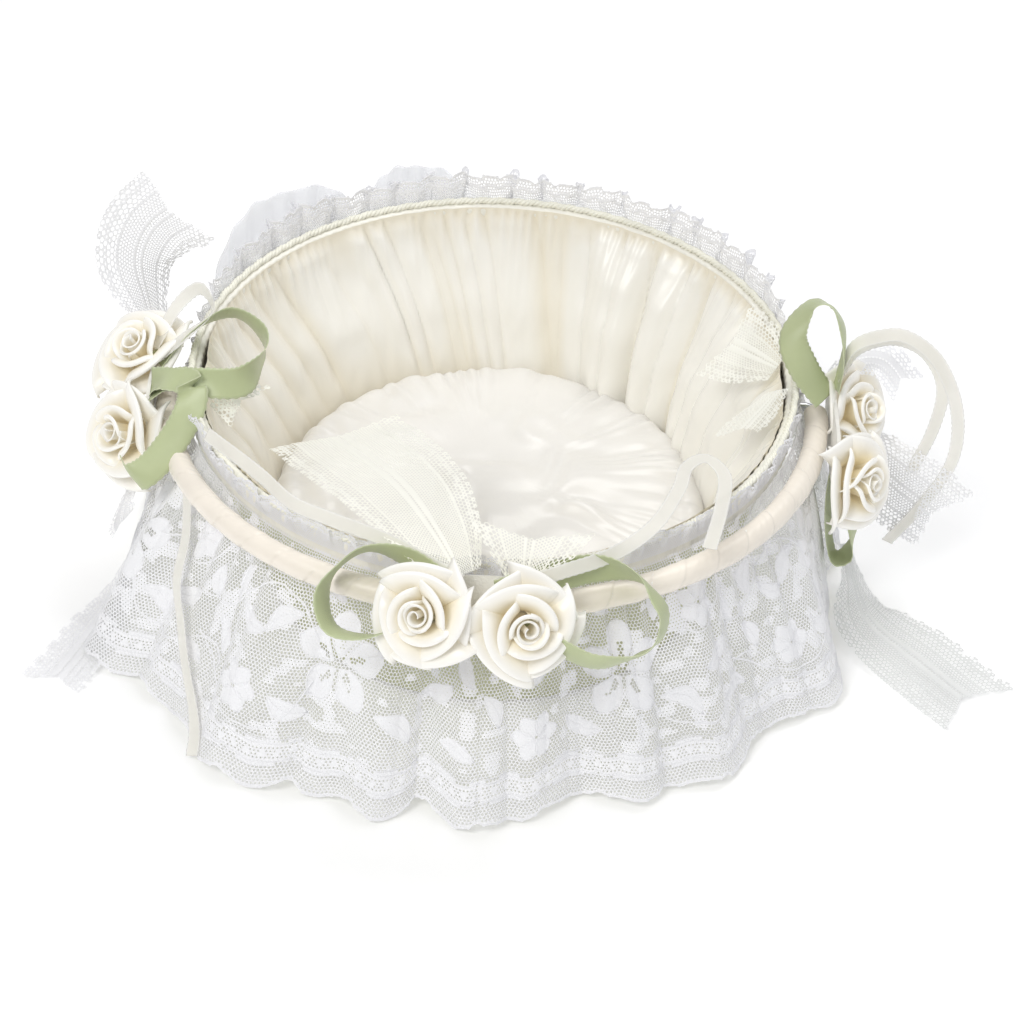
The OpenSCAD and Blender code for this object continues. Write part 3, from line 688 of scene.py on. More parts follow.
def cloth_uv(width, height, rows, cols):
    """UVs in mm for a grid of points."""
    return np.stack(np.meshgrid(np.linspace(0, width, cols), np.linspace(0, height, rows)), -1).reshape(-1, 2)


def ridge(x, power):
    """Pleats: one rounded ridge for each whole number, 0..1."""
    f = x - np.floor(x)
    return (0.5 - 0.5 * np.cos(2 * pi * f)) ** power


def pleat(x):
    """Gathered satin: rounded folds with creased valleys, 0..1, one for each whole number."""
    return np.abs(np.sin(pi * x)) ** 0.7


def ring_piece(name, g, mat, slot, width, height, across=None):
    """A ring of cloth on the basket, with a flat width and height for its weave."""
    rows, cols = g.shape[:2]
    return make(name, g.reshape(-1, 3), grid_quads(rows, cols, True), mat, "basket", slot, (name,),
                uv=cloth_uv(width, height, rows, cols), across=across)


def lining_z(t):
    return 80.2 - 75.0 * t


def lining_folds(turn, z):
    """How far the lining's folds stand in from the wall: bold ones at the back right, calmer ones elsewhere,
    and fine puckers under the cord."""
    calm = 0.45 + 0.55 * smooth((z - 12) / 20)
    bold = smooth(1.5 - np.abs((np.degrees(turn) % 360) - 138) / 40)
    fade = 1 - 0.7 * smooth((52 - z) / 34) * (1 - bold)
    lean = 0.0047 * (0.35 + 0.65 * smooth(np.sin(turn - 3.5) * 0.5 + 0.5)) * (80 - z)
    at = turn + lean
    big = pleat(15 * at / 6.283 + 0.9 * ring_noise(at, 7, 21))
    big = big * (0.65 + 0.6 * ring_noise(at, 9, 22)).clip(0.15)
    mid = pleat(41 * (turn + lean * 0.8) / 6.283 + 1.2 * ring_noise(at, 16, 23))
    mid = mid * (0.5 + 0.7 * ring_noise(at, 12, 24)).clip(0)
    fine = np.sin(150 * turn + 3.5 * ring_noise(turn, 45, 25)) * (0.7 + 0.5 * ring_noise(turn, 50, 26))
    return ((3.8 + 6.0 * bold) * big * smooth((80 - z) / 18) * calm * fade
            + (2.6 + 1.6 * bold) * mid * smooth((80 - z) / 6) * calm * fade
            + 0.8 * fine * smooth((80 - z) / 2.0) * np.exp(-(80 - z) / 10))


def lining_r(turn, t):
    z = lining_z(t)
    mix = smooth((80.2 - z) / 36)
    r = 97.1 * (1 - mix) + (wall_r(z) - 6.2) * mix
    # The lining stands in over the handle's end caps.
    r = r - 6.5 * np.exp(-(97 * np.cos(turn) / 10) ** 2 - ((z - PIVOT_Z) / 9) ** 2)
    return r - lining_folds(turn, z) - 0.4 * noise2(turn * 22, z / 7, 27)


def build_tub():
    rows, cols = 84, 1080
    g = ring_grid(lining_r, lambda turn, t: lining_z(t), rows, cols)
    t, turn = np.meshgrid(np.linspace(0, 1, rows), around(cols),
                          indexing="ij")
    # Painted shade: the lining is coloured warmer and darker in its fold valleys and lighter on the crests.
    fold_painted_shade = (0.2 + lining_folds(turn, lining_z(t)) / 7).clip(0, 1).ravel()
    lining = ring_piece("lining", g, LINING, "ivory_satin", 612, 78, fold_painted_shade)

    # The binding folds over the board's top edge, puckered along its stitches.
    profile = spline([(97.5, 75.9), (97.3, 78), (97.5, 79.6), (98.6, 80.3), (100.2, 80.2), (101.1, 79.4),
                      (101.2, 76), (101.1, 71.7)], 3)
    turn = around(900)
    crimp = 0.18 * np.sin(170 * turn + 3 * ring_noise(turn, 40, 31))[None, :]
    g = ring_point(profile[:, :1] + crimp, turn[None, :], profile[:, 1:] + crimp * 0.6)
    ring_piece("rim_binding", g, IVORY, "ivory_satin", 628, 16)

    # The cord: three strands laid up, pulled in a little by its stitches.
    turn = around(1500)
    pull = 0.12 * np.sin(96 * turn + 2 * ring_noise(turn, 30, 33))
    strands = []
    for k in range(3):
        a = 124 * turn + k * 2 * pi / 3
        path = ring_point(100.2 + 0.58 * np.cos(a) + pull, turn, 81.25 + 0.58 * np.sin(a) + pull)
        strands.append(ring_tube(path, 0.68, 7))
    make("rim_cord", *merge(strands), CORD, "basket", "cord", ("rim_cord",))

    # The cover under the lace, gathered to the sole.
    def cover_r(turn, t):
        fold = ridge(64 * turn / 6.283 + ring_noise(turn, 22, 35), 1.2)
        fold = fold * (0.5 + 0.5 * ring_noise(turn, 15, 36))
        return wall_r(72.5 - 71.5 * t) + 0.75 + 1.5 * fold * np.sin(pi * t) ** 0.7

    g = ring_grid(cover_r, lambda turn, t: 72.5 - 71.5 * t, 40, 900)
    cover = ring_piece("outer_cover", g, COVER, "cover_satin", 600, 75)


def build_pad():
    """The stuffed pad, one grid from the middle of its top over its rounded edge to the middle of its foot:
    soft creases on top, and puckers round the edge."""
    rows, cols = 90, 360
    turn = around(cols)[None, :]
    t = np.linspace(0, 1, rows)[:, None]
    top = np.clip(t / 0.78, 0, 1)
    side = np.clip((t - 0.78) / 0.22, 0, 1)
    edge = 75.8 + 1.4 * ring_noise(turn, 14, 41)
    tuck = 1.0 * ridge(38 * turn / 6.283 + ring_noise(turn, 12, 42), 1.2)
    a = side * pi / 2
    r = (edge - 9) * top + 9 * np.sin(a) - tuck * side
    z = 31.5 - 2.5 * top ** 3 - 11 * (1 - np.cos(a))
    x, y = r * np.sin(turn), -r * np.cos(turn)
    inner = 1 - smooth(top * 0.9) * 0.35
    w1, w2 = noise2(x / 26 + 3, y / 26 + 8, 43), noise2(x / 15 + 1, y / 15 + 5, 44)
    fold = ridge((x * 0.8 + y * 0.5) / 44 + 0.8 * w1, 1.0) * (0.6 + 0.6 * w2)
    fold2 = ridge((x * 0.3 - y) / 30 + 0.9 * w2, 1.0) * (0.5 + 0.6 * w1)
    pucker = np.exp(-(1 - top) * 6) * ridge(52 * turn / 6.283 + 1.2 * ring_noise(turn, 20, 45), 1.4)
    crease = (3.0 * fold + 1.6 * fold2 + 0.4 * noise2(x / 8, y / 8, 46)) * inner
    z = z + (crease - 1.8 * pucker) * (1 - side)
    g = np.stack([x, y, z], -1)
    low = np.linspace(1, 0.02, 14)[:, None]
    base_z = 20 - 14.5 * smooth((1 - low) * 9) + np.zeros(cols)
    base = np.stack([x[-1] * low, y[-1] * low, base_z], -1)
    g = np.concatenate([g, base])
    g[0, :, 2] = g[0, :, 2].mean()
    g[1, :, 2] = g[1, :, 2] * 0.5 + g[0, 0, 2] * 0.5
    n = len(g)
    verts = np.concatenate([g.reshape(-1, 3)[cols:], [g[0, 0], [0, 0, g[-1, 0, 2]]]])
    quads = grid_quads(n - 1, cols, True)
    j = np.arange(cols)
    k = (j + 1) % cols
    last = (n - 2) * cols
    tris = np.concatenate([np.stack([np.full(cols, (n - 1) * cols), k, j], -1),
                           np.stack([np.full(cols, (n - 1) * cols + 1), last + j, last + k], -1)])
    pad = make("floor_pad", verts, quads, PAD, "basket", "ivory_satin", ("floor_pad",), tris=tris,
               uv=verts[:, :2])


def ruffle_height(turn):
    """How high the frill stands above the seam: tall at the back, low by the pivots and in front."""
    back = smooth((-np.cos(turn) - 0.15) / 0.45)
    pivot = 1 - 0.75 * np.exp(-((np.abs(np.sin(turn)) - 1) / 0.02) ** 2)
    return (8.6 + 7.0 * back + 1.3 * ring_noise(turn, 30, 51)) * pivot, back


def build_ruffle():
    folds, length, height = 47, 1500.0, 17.0

    def shape(turn, t):
        h, back = ruffle_height(turn)
        phase = folds * turn + 2.8 * ring_noise(turn, 26, 52)
        swing = turn + 0.046 * t * np.cos(phase) * (0.4 + 0.6 * back)
        wave = np.sin(phase) * (0.8 + 0.5 * ring_noise(turn, 35, 53))
        fine = np.sin(3.4 * folds * turn + 3 * ring_noise(turn, 70, 54))
        r = 101.6 + (0.6 + 1.8 * back) * t + (1.5 + 1.8 * back) * wave * smooth(t * 1.3) + 0.6 * fine * t
        r = np.maximum(r, 101.2)
        z = SEAM_Z + h * t * (1 - 0.05 * wave + 0.10 * ring_noise(turn, 48, 55)) + 0.4 * fine * t
        return ring_point(r, swing, z)

    grid = even_ring(shape, 14, 200, 8, start=0.0)
    sheet = Sheet(grid, length, height)
    low = lambda u: height - 1.6 * (1 - np.abs(np.sin(pi * u / 9)) ** 0.8)

    def hole(u, v):
        size = np.full(len(u), 0.52)
        size[np.abs(v - (low(u) - 4.6)) < 0.9] = 0.2
        flower = np.hypot(np.mod(u, 18) - 9, v - 8.2) < 3.0
        size[flower] = 0.38
        size[v > low(u) - 3.2] = 0.6
        size[v > low(u) - 1.1] = 0.2
        return size

    inside = lambda u, v: (v > 0) & (v < low(u)) & (u < length)
    verts, quads = net(sheet, 1.45, hole, inside, 0, length)
    u = np.arange(0, length, 0.9)
    cords = [outline(sheet, u, low(u) - 0.3, 0.7, 0.3), outline(sheet, u, low(u) - 4.6, 0.5, 0.25)]
    a = np.linspace(0, 2 * pi, 13)
    petals = 2.4 + 0.8 * np.cos(5 * a)
    for k in range(int(length / 18)):
        cords.append(outline(sheet, k * 18 + 9 + petals * np.cos(a), 8.2 + petals * np.sin(a), 0.5, 0.25))
    edge = make("rim_ruffle_cords", *merge(cords), LACE, "basket", "lace")
    ob = make("rim_ruffle", verts, quads, LACE, "basket", "lace", ("rim_ruffle",))


def build_organza():
    """Two soft loops of organza behind the rim, at the back left."""
    parts = []
    for lo, hi, tall, out in ((119, 152, 20, 5.5), (97, 117, 16, 4.5)):
        s = np.linspace(0, 1, 120)
        a = np.radians(np.linspace(lo, hi, 120))
        hump = np.sin(pi * s) ** 0.55 * (1 + 0.08 * np.sin(9 * s + 1))
        rows = []
        for v in np.linspace(-1, 1, 25):
            up = (1 - abs(v) ** 2.2)
            r = 107.0 + out * 0.5 * (1 + v) + 1.5 * up + 0.8 * np.sin(40 * s + 3 * v) * (1 - up * 0.6)
            z = 74 + (tall * hump + 2) * up + 0.5 * np.sin(31 * s + 2 * v)
            rows.append(np.stack([r * np.cos(a), r * np.sin(a), z], -1))
        parts.append(slab(np.stack(rows), 0.12))
    verts, quads = merge(parts)
    ob = make("organza_puff", verts, quads, ORGANZA, "basket", "organza", ("organza_puff",),
              uv=verts[:, [0, 2]])


# ---------------------------------------------------------------- handle

def bail_point(a):
    """The handle's centre line, a from 0 at the right leg to pi at the left."""
    d = BEND + LEG_X * np.sin(a)
    tilt = radians(REST_TILT)
    return np.stack([LEG_X * np.cos(a), -d * cos(tilt), PIVOT_Z + d * sin(tilt)], -1)


def build_wrap():
    """The satin ribbon wound round the handle: laps every 13 mm of the handle, with small creases."""
    n, sides = 900, 40
    a = np.linspace(0.004, pi - 0.004, n)
    path = bail_point(a)
    s = a[:, None] * LEG_X
    tangent = unit(np.gradient(path, axis=0))
    tilt = radians(REST_TILT)
    up = np.broadcast_to(unit(np.array([0, sin(tilt), cos(tilt)])), path.shape)
    side = np.cross(tangent, up)
    ang = around(sides)[None, :]
    turns = s / 13.0 + ang / (2 * pi) + 0.12 * noise1(s / 11, 61)
    f = turns - np.floor(turns)
    lap = 0.20 * smooth(1 - f) - 0.16 * np.exp(-((f - 0.985) / 0.02) ** 2)
    crease = 0.10 * np.sin(2 * pi * (f * 4 + 2.5 * ang / 6.283)) * noise2(s / 6, ang * 2, 62)
    r = (3.85 + lap + crease + 0.12 * noise2(s / 9, ang * 1.3, 63))[..., None]
    round_ = ang[..., None]
    g = path[:, None] + r * (np.cos(round_) * up[:, None] + np.sin(round_) * side[:, None])
    uv = np.stack(np.broadcast_arrays(s, ang * 4), -1).reshape(-1, 2)
    make("handle_wrap", g.reshape(-1, 3), grid_quads(n, sides, True), WRAP, "handle", "wrap_satin",
         ("handle_wrap",), uv=uv)


def frame_of(aim):
    z = unit(np.array(aim, float))
    x = unit(np.cross([0, 0, 1], z)) if abs(z[2]) < 0.95 else np.array([1.0, 0, 0])
    return np.stack([x, np.cross(z, x), z], -1)


def petal(spin, span, r0, r1, top, lip, lean, square, phase, rows=22, cols=27):
    """One petal of folded ribbon: it rises from r0 to r1, rolls over along its top edge, and its two
    corners stand out by square."""
    s = np.linspace(-1, 1, cols)[None, :]
    t = np.linspace(0, 1, rows)[:, None]
    rise = np.clip(t / 0.72, 0, 1)
    roll = np.clip((t - 0.72) / 0.28, 0, 1) * 3.3
    crown = top * (1 - 0.07 * s ** 2 - 0.42 * np.abs(s) ** 7 + 0.03 * np.sin(2.6 * s + phase))
    corner = np.cos(0.82 * span * s) ** -square
    r = r0 + (r1 * corner - r0) * rise ** 1.5 + lean * s * rise + lip * (1 - 0.5 * s ** 6) * np.sin(roll)
    z = crown * np.sin(rise * pi / 2) ** 0.85 - lip * (1 - np.cos(roll)) * 0.8
    a = spin + span * s * (1 - 0.06 * rise)
    return np.stack([r * np.cos(a), r * np.sin(a), z + 0 * a], -1)


def rose(name, at, aim, seed, size=1.0, spin=0.0):
    """A satin ribbon rose: a rolled bud inside four rounds of folded petals."""
    rng = np.random.default_rng(seed)
    th = np.linspace(0, 2 * pi * 1.9, 130)[None, :]
    v = np.linspace(0, 1, 14)[:, None]
    roll = smooth((v - 0.75) / 0.25)
    r = 0.9 + 0.27 * th + 0.8 * np.sin(roll * 2.4) * (0.5 + th / 16)
    z = (3 + (12.4 - 0.16 * th + 0.4 * np.sin(1.7 * th)) * np.clip(v / 0.85, 0, 1)
         - 1.1 * roll * (0.4 + th / 18))
    parts = [slab(np.stack([r * np.cos(th + spin), r * np.sin(th + spin), z + 0 * th], -1), 0.22)]
    # Painted shade: shade runs from 0 at the bud's foot and each petal's base, painted warm crease shade, to 1
    # at the lips.
    shade = [np.tile(np.broadcast_to(v * 0.9, (14, 130)).ravel(), 2)]
    rounds = ((2, 1.75, 2.6, 4.9, 14.4, 0.55, 0.8, 0.0), (3, 1.25, 3.5, 8.3, 13.2, 0.65, 1.2, 0.25),
              (3, 1.2, 4.4, 12.2, 11.2, 0.8, 1.4, 0.38), (4, 0.95, 5.0, 15.0, 7.8, 0.85, 1.3, 0.5))
    for k, (count, span, r0, r1, top, lip, lean, square) in enumerate(rounds):
        for i in range(count):
            a = spin + 2 * pi * (i + 0.41 * k + rng.uniform(-0.06, 0.06)) / count
            parts.append(slab(petal(a, span * rng.uniform(0.96, 1.05), r0, r1 * rng.uniform(0.96, 1.04),
                                    top * rng.uniform(0.95, 1.05), lip, lean, square, rng.uniform(0, 6)), 0.22))
            shade.append(np.tile(np.repeat(np.linspace(0, 1, 22), 27), 2))
    verts, quads = merge(parts)
    uv = verts[:, :2].copy()
    verts = verts * size @ frame_of(aim).T + np.array(at, float)
    return make(name, verts, quads, ROSE, "handle", "rose_satin", (name,),
                uv=uv, across=np.concatenate(shade))


ROSES = [("left_rose_upper", (-115.4, 6, 72.5), (-0.42, -0.28, 0.86), 1.05, 0.3),
         ("left_rose_lower", (-116, -18, 61.5), (-0.66, -0.6, 0.45), 1.05, 1.3),
         ("right_rose_upper", (115.8, 0, 66.5), (0.76, -0.4, 0.5), 1.02, 2.3),
         ("right_rose_lower", (115.4, -28.5, 61), (0.76, -0.55, 0.35), 1.0, 0.9),
         ("front_rose_left", (-15.5, -117.6, 77), (-0.3, -0.8, 0.52), 1.0, 0.0),
         ("front_rose_right", (11, -118.2, 75), (0.22, -0.85, 0.47), 1.04, 2.0)]


# ---------------------------------------------------------------- ribbons

def strip(route, width=None, step=0.55):
    """A ribbon's length, centre line, way across, normal and width, evenly spaced."""
    route = np.array(route, float)
    p, a = spline(route[:, :3], 16), spline(unit(route[:, 3:6]), 16)
    w = spline(route[:, 6:7], 16) if width is None else np.full((len(p), 1), float(width))
    length = np.linalg.norm(np.diff(p, axis=0), axis=1).sum()
    length, p, a, w = resample(p, max(12, int(length / step)), a, w)
    t = unit(np.gradient(p, axis=0))
    a = unit(a - t * (a * t).sum(1, keepdims=True))
    return length, p, a, np.cross(t, a), w[:, 0]


# A ribbon's material, slot, width, thickness, cup across it and looped selvedge.
GREEN_RIBBON = (GREEN, "green_satin", 10, 0.22, 0.7, 0.14)
SHEER_RIBBON = (SHEER, "sheer_ribbon", 4.5, 0.12, 0.2, 0.08)
PICOT_PITCH = 2.2


def satin_ribbon(route, width, thick, cup, picot):
    """A woven ribbon along a route, with its tiny looped selvedges."""
    length, p, a, n, w = strip(route, width)
    v = np.linspace(-1, 1, 11)[:, None]
    s = np.linspace(0, length, len(p))[None, :]
    edge = picot * np.sign(np.sin(2 * pi * s / PICOT_PITCH)) * (np.abs(v) > 0.99) * np.sign(v)
    half = w[None, :] / 2
    bow = cup * (v ** 2 - 0.33) * half / 5
    g = p[None] + a[None] * (v * half + edge)[..., None] + n[None] * bow[..., None]
    verts, quads = slab(g, thick)
    uv = np.stack(np.broadcast_arrays(s, v * half), -1).reshape(-1, 2)
    across = np.broadcast_to(np.abs(v), g.shape[:2]).ravel()
    return length, verts, quads, np.tile(uv, (2, 1)), np.tile(across, 2)


def ribbon_piece(name, body, mat, slot, width, thick, cup, picot):
    """A piece of one or two ribbons, and their length together."""
    parts = [satin_ribbon(route, width, thick, cup, picot) for route in ROUTES[name]]
    verts, quads = merge([(p[1], p[2]) for p in parts])
    return sum(p[0] for p in parts), make(name, verts, quads, mat, body, slot, (name,),
                                          uv=np.concatenate([p[3] for p in parts]),
                                          across=np.concatenate([p[4] for p in parts]))


LACE_PITCH, SCALLOP_PITCH = 1.18, 7.5


def lace_ribbon(route, ruffle, cut, seed):
    """A torchon lace ribbon: a fine net each side of a close double line, and open fans along both edges.
    It is ruffled more towards its end, which has a notch of depth cut."""
    length, p, a, n, w = strip(route, step=0.8)
    v = np.linspace(-1, 1, 25)[:, None]
    s = np.linspace(0, length, len(p))[None, :]
    wave = ruffle * (np.sin(s / 6.5 + 2 * noise1(s / 19, seed)) * (0.35 + 0.65 * v)
                     + 0.5 * np.sin(s / 3.7 + 1) * v) * (0.3 + 0.7 * s / length)
    g = p[None] + a[None] * (v * w[None, :] / 2)[..., None] + n[None] * wave[..., None]
    width = float(w.max())
    sheet = Sheet(g, length, width)
    mid = width / 2
    fan = min(9.0, width * 0.27)

    def ends(u, v):
        return u < length - cut * (1 - np.abs(v - mid) / mid)

    def edge(u):
        return mid - 1.9 * (1 - np.abs(np.sin(pi * u / SCALLOP_PITCH)) ** 0.8)

    def hole(u, v):
        d = np.abs(v - mid)
        size = np.full(len(u), 0.56)
        size[(d > 0.7) & (d < 2.3)] = 0.0
        size[d <= 0.7] = 0.6
        size[(d > mid - fan - 1.2) & (d < mid - fan + 0.2)] = 0.2
        return size

    def fan_hole(u, v):
        d = np.abs(v - mid)
        size = np.full(len(u), 0.70)
        size[np.abs(d - edge(u) + 3.6) < 0.8] = 0.35
        size[d > edge(u) - 1.1] = 0.3
        return size

    inner = lambda u, v: (np.abs(v - mid) < mid - fan) & ends(u, v)
    outer = lambda u, v: (np.abs(v - mid) >= mid - fan - 0.9) & (np.abs(v - mid) < edge(u)) & ends(u, v)
    return length, width, [net(sheet, LACE_PITCH, hole, inner, 0, length),
                           net(sheet, LACE_PITCH * 1.4, fan_hole, outer, 0, length)]


def lace_piece(name, mat, body, ruffle, cut, seed):
    parts, total, wide = [], 0, 0
    for k, route in enumerate(ROUTES[name]):
        length, width, more = lace_ribbon(route, ruffle, cut, seed + k)
        parts += more
        total, wide = total + length, max(wide, width)
    ob = make(name, *merge(parts), mat, body, "lace", (name,))
    return ob, total, wide


# Soft pieces tied at a hinge, with two points each: the knot, and a point past which the piece belongs with
# the basket. In mm. The script leaves these pieces where they are, on no body, and does not read the points.
ACROSS_HINGE = {"left_green_bow": ((-109, 0, 80), (-98, 0, 80)),
                "left_sheer_ribbon": ((-110, 0, 80), (-101, 0, 80)),
                "left_lace_bow": ((-115, 20, 72), (-115, 20, 100)),
                "right_green_bow": ((112, 0, 80), (112, 0, 98))}


# Each ribbon's stops: place, way across and, for lace, width.
ROUTES = {
    "left_green_bow": [
        [(-112, -2, 80, -0.46, 0.89, -0.04), (-101, 4, 88, -0.17, 0.84, -0.52),
         (-88, 10, 91.5, 0.14, 0.56, -0.82), (-77, 1, 90, -0.06, 0.15, -0.99),
         (-76, -9, 88, -0.18, 0.17, -0.97), (-82, -21, 87, 0.29, -0.37, -0.88),
         (-95, -23, 87.5, -0.01, -0.85, -0.52), (-106, -20, 86, -0.37, -0.9, -0.22),
         (-112.6, -14, 80, -0.07, -0.74, -0.67)],
        [(-112, -17, 79, 0.1, 0.9, 0.3), (-104, -20, 86, 0.2, 0.85, 0.2), (-98, -25, 88, -0.3, 0.9, 0.2),
         (-97, -32, 85, -0.75, 0.5, 0.4), (-101, -40, 79, -0.86, 0.32, 0.39),
         (-108, -48, 72.5, -0.86, 0.32, 0.39), (-114, -50, 69, -0.6, 0.3, 0.7),
         (-117.5, -42, 67, -0.2, -0.5, 0.8)]],
    "left_sheer_ribbon": [
        [(-113, 2, 82, -0.53, 0.76, -0.37), (-107, 11, 92, -0.79, 0.56, 0.24),
         (-99, 15, 98, -0.08, 0.29, 0.95), (-94, 8, 94, 0.37, -0.51, 0.78),
         (-102, 0, 89.5, 0.5, -0.86, 0.13), (-111.5, -4, 82.5, 0.42, -0.91, -0.05)]],
    "left_lace_bow": [
        [(-114.2, 21, 68, 0.11, 0.94, -0.33, 12), (-119, 27, 84, 0.6, 0.77, -0.19, 22),
         (-121.5, 30, 98, 0.85, 0.38, -0.3, 30), (-116.5, 31, 111, 0.76, 0.1, -0.64, 34),
         (-106, 31, 120.5, 0.61, 0, -0.79, 36)],
        [(-114.2, -8, 56, 0.42, -0.57, 0.7, 12), (-119, -23, 46, 0.5, -0.5, 0.7, 15),
         (-122, -35, 41, 0.6, -0.25, 0.75, 14), (-120, -46, 45, 0.6, 0.1, 0.8, 12)]],
    "right_green_bow": [
        [(110, -9, 79.5, 0.63, 0.75, 0.22), (102, -5, 89, 0.86, 0.33, 0.4), (98, 1, 97, 0.84, -0.48, 0.26),
         (103, 6, 106, 0.09, -0.98, 0.18), (110, 4, 107.5, -0.14, -0.78, 0.61),
         (114.5, 0, 101, -0.26, -0.9, 0.36), (115, -4, 91, 0, -0.92, 0.39),
         (113.4, -8, 82, 0.14, -0.91, 0.38)],
        [(114.2, -14, 57.5, 0.22, 0.89, -0.4), (113.4, -19, 46, 0.31, 0.89, -0.34),
         (114.4, -23, 34, 0.29, 0.93, -0.22), (117, -25, 25, 0.13, 0.99, 0),
         (122, -24, 24.5, -0.27, 0.92, -0.29), (124, -20, 34, 0.47, 0.84, -0.26),
         (121, -17, 45, 0.51, 0.86, -0.07), (117, -14, 55, 0.41, 0.9, -0.11)]],
    "right_sheer_ribbon": [
        [(114.2, -4, 84, 0.13, 0.98, -0.12), (117.5, -3, 96, -0.31, 0.93, 0.21),
         (126, -4, 102, -0.22, 0.59, 0.78), (135, -5, 102.5, 0.39, 0.38, 0.84),
         (146, -7, 94, 0.8, 0.29, 0.53), (154, -9, 76, 0.96, 0.2, 0.21), (155, -10, 56, 0.98, 0.1, -0.18),
         (147, -11, 37, 0.88, 0.11, -0.46), (137, -12, 21, 0.84, 0.11, -0.53)],
        [(116, -1, 84, 0.03, 0.97, -0.23), (120, 1, 93, -0.45, 0.81, 0.38),
         (131, 1, 97.5, -0.01, 0.39, 0.92), (142, -1, 94, 0.66, 0.28, 0.7), (149, -3, 82, 0.97, 0.17, 0.18),
         (148, -5, 66, 0.98, 0.1, -0.19), (142.5, -6, 47, 0.95, 0.11, -0.28)]],
    "right_lace_bow": [
        [(114.4, 12, 70, -0.22, 0.97, 0.08, 12), (121, 13, 79, 0.01, 0.97, 0.1, 16),
         (131, 10, 82, 0.3, 0.9, 0.2, 18), (140, 4, 74, 0.5, 0.8, 0.3, 18)],
        [(115, -10, 57, -0.11, 0.79, 0.6, 12), (127, -3, 50, 0.45, 0.45, 0.77, 22),
         (140, -9, 42, 0.53, 0.03, 0.85, 32), (155, -14, 33, 0.46, -0.19, 0.87, 36)]],
    "front_green_bow": [
        [(-8, -115, 82.5, 0.17, -0.22, 0.96), (-22, -106.5, 87, 0.12, -0.2, 0.97),
         (-35, -103.5, 88, -0.06, -0.63, 0.78), (-44, -108, 84, 0.01, -0.68, 0.73),
         (-48, -114.5, 78, -0.41, -0.6, 0.68), (-45, -121, 72, -0.32, -0.83, 0.45),
         (-36, -123, 71, -0.07, -0.85, 0.53), (-24, -122, 73, -0.12, -0.55, 0.82),
         (-10, -119, 77.5, -0.14, -0.57, 0.81)],
        [(4, -115, 82, -0.22, 0.26, 0.94), (20, -108.5, 84, -0.24, 0.42, 0.87),
         (34, -105, 85.5, -0.03, 0.11, 0.99), (46, -107, 84.5, -0.05, -0.56, 0.82),
         (53, -114, 80.5, -0.52, -0.6, 0.6), (54, -122, 76.5, -0.18, -0.39, 0.9),
         (48, -129, 73, 0.17, -0.71, 0.68), (36, -131.5, 71, -0.08, -0.4, 0.91),
         (26, -128, 71.5, 0.04, -0.29, 0.96), (12, -120, 75.5, 0.02, -0.42, 0.91)]],
    "front_sheer_ribbon": [
        [(8, -114.5, 84, -0.35, 0.55, 0.76), (22, -111, 88, -0.32, 0.49, 0.81),
         (38, -103, 89, -0.4, 0.47, 0.79), (51, -90, 90, -0.79, 0.55, 0.26), (59, -72, 90, -0.93, 0.36, 0),
         (62, -59, 88.5, -0.9, 0.4, 0), (68.5, -52.5, 87, 0, 1, 0), (74, -60, 86, 0.95, 0.3, 0),
         (72, -78, 87, 0.98, -0.1, 0.1), (68, -95, 86, 0.99, -0.12, 0)],
        [(-8, -112, 85, 0.42, 0.49, 0.77), (-28, -101, 89, 0.29, 0.4, 0.87),
         (-47, -90, 88, 0.29, 0.55, 0.78), (-60, -82, 87.5, 0.37, 0.44, 0.81),
         (-72, -68, 87.5, 0.42, 0.39, 0.82), (-90, -49, 87, 0.4, 0.4, 0.82)]],
    "front_lace_bow": [
        [(-7, -111, 85.5, 0.89, 0.44, 0.14, 14), (-15, -96, 89.5, 0.89, 0.45, 0, 30),
         (-27, -71, 87, 0.89, 0.45, -0.01, 42), (-40, -47, 79, 0.89, 0.47, -0.02, 46),
         (-52, -24, 70, 0.89, 0.46, -0.01, 47)],
        [(12, -111.5, 85.5, 0.99, -0.1, -0.08, 12), (13, -106, 90.5, 0.99, -0.08, -0.1, 26),
         (14, -96, 93.5, 0.99, -0.1, -0.03, 40)]],
    "left_inner_lace": [
        [(-93.5, -12, 82, 0.63, 0.78, -0.07, 10), (-87.5, -17, 80.5, 0.59, 0.8, 0.08, 18),
         (-79, -22, 77, 0.56, 0.81, 0.16, 22)]],
    "right_inner_lace": [
        [(94.5, 3, 83, 0.5, 0.62, 0.6, 12), (87, 12, 81.5, 0.55, 0.6, 0.58, 26),
         (77.5, 23, 79, 0.6, 0.58, 0.55, 33)],
        [(94, -10, 83, -0.5, 0.65, -0.57, 12), (88, -18, 81, -0.5, 0.65, -0.57, 22),
         (80, -29, 78, -0.5, 0.65, -0.57, 27)]],
    "right_low_lace": [
        [(123, -9, 17, 0.36, 0.73, -0.58, 12), (127, -19, 7, 0.65, 0.53, -0.54, 18),
         (132, -34, 3.2, 0.85, 0.52, -0.07, 28), (147, -52, 2.2, 0.77, 0.64, 0, 34),
         (165, -74, 2.2, 0.77, 0.63, 0, 34)]],
    "left_low_lace": [
        [(-120, -20, 17, -0.29, 0.7, -0.65, 12), (-124, -30, 8, -0.67, 0.53, -0.51, 14),
         (-130, -46, 3.2, -0.92, 0.37, -0.1, 19), (-136, -62, 2.2, -0.93, 0.37, -0.01, 22),
         (-143, -79, 2.2, -0.92, 0.38, 0, 22)]],
}


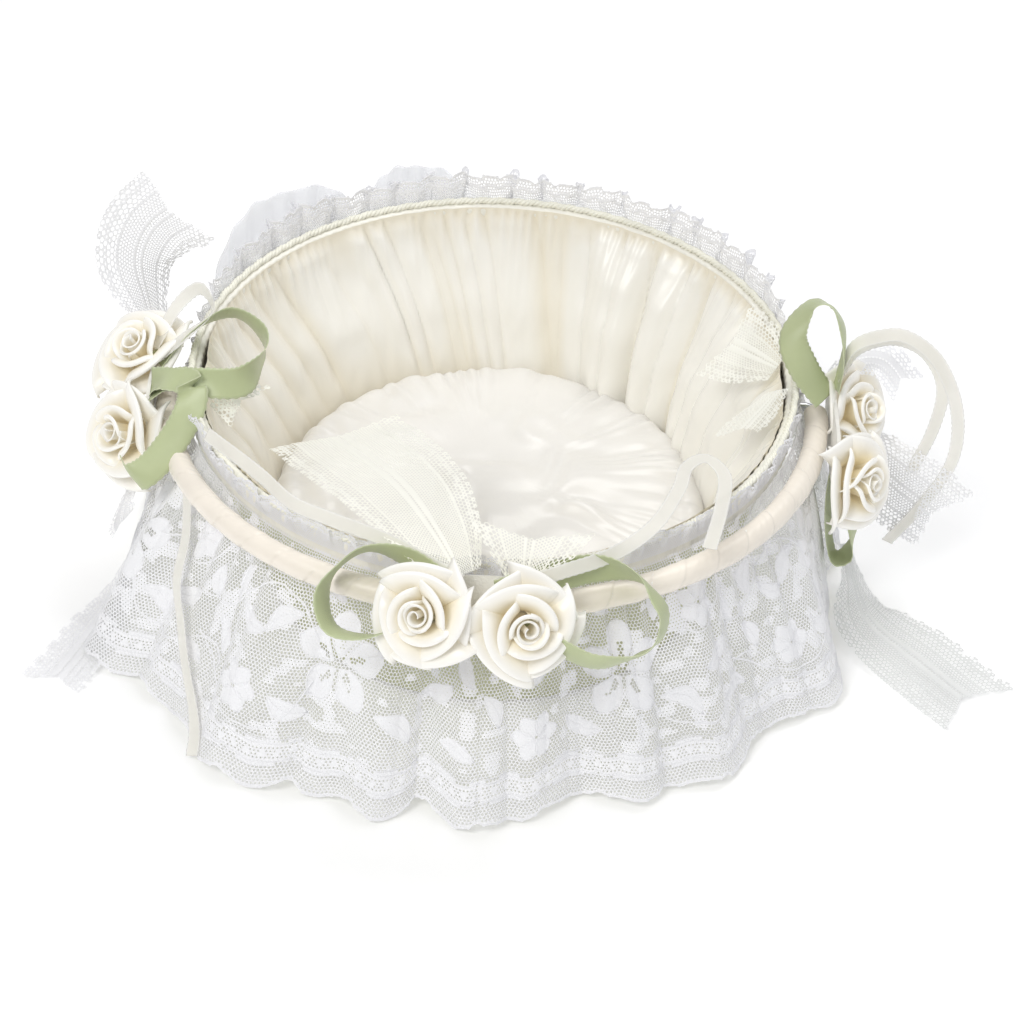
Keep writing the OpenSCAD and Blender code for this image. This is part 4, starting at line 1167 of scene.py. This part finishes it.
def build_trims():
    for side, lace_mat in (("left", LACE), ("right", LACE), ("front", CREAM_LACE)):
        length, green = ribbon_piece(side + "_green_bow", "handle", *GREEN_RIBBON)
        sheer = ribbon_piece(side + "_sheer_ribbon", "handle", *SHEER_RIBBON)[1]
        ob, length, width = lace_piece(side + "_lace_bow", lace_mat, "handle", 0.7, 5, 71)
    # The right tail on the floor takes the darker lace copy, which is painted shade.
    for name, ruffle, cut, mat in (("left_inner_lace", 0.8, 4, CREAM_LACE),
                                   ("right_inner_lace", 0.9, 4, CREAM_LACE),
                                   ("left_low_lace", 0.5, 6, LACE), ("right_low_lace", 0.5, 8, SHADED_LACE)):
        ob, length, width = lace_piece(name, mat, "basket", ruffle, cut, 81)
    # The left knot's long end hangs outside the skirt, so its line follows the skirt's own folds.
    t = np.array([0.1, 0.25, 0.4, 0.55, 0.7, 0.85, 0.93, 0.99])
    turn = np.radians(np.interp(t, [0, 0.1, 0.25, 0.5, 0.75, 0.95, 1],
                                   [-68, -62.75, -56.25, -51, -46, -41, -40]))
    out = ring_point(1.0, turn, 0.0)
    out[:, 2] = 0.3
    place = skirt_shape(turn, t) + out * (3.4 + 1.2 * np.sin(5 * t))[:, None]
    ROUTES["left_hanging_ribbon"] = [[(*p, cos(a), sin(a), 0) for p, a in zip(place, turn)]]
    ribbon_piece("left_hanging_ribbon", "basket", *SHEER_RIBBON)


def finish_nodes():
    """Materials for the CAD nodes that stay: boards, wires, eyelets, caps and backings."""
    for names, mat in ((("bottom_cover",), IVORY), (("base_board", "wall_board"), CARD),
                       (("rim_wire", "handle_wire"), WIRE), (("eyelet_left", "eyelet_right"), BRASS),
                       (("end_cap_left", "end_cap_right"), BRASS), (("handle_padding",), FOAM),
                       (("left_backing", "right_backing", "front_backing"), FELT)):
        for name in names:
            ob = bpy.data.objects[name]
            if not ob.material_slots:
                ob.data.materials.append(mat)
            for slot in ob.material_slots:
                slot.material = mat


build_tub()
build_pad()
build_ruffle()
build_skirt()
build_organza()
build_wrap()
for index, (name, at, aim, size, spin) in enumerate(ROSES):
    rose(name, at, aim, 100 + index, size, spin)
build_trims()
finish_nodes()
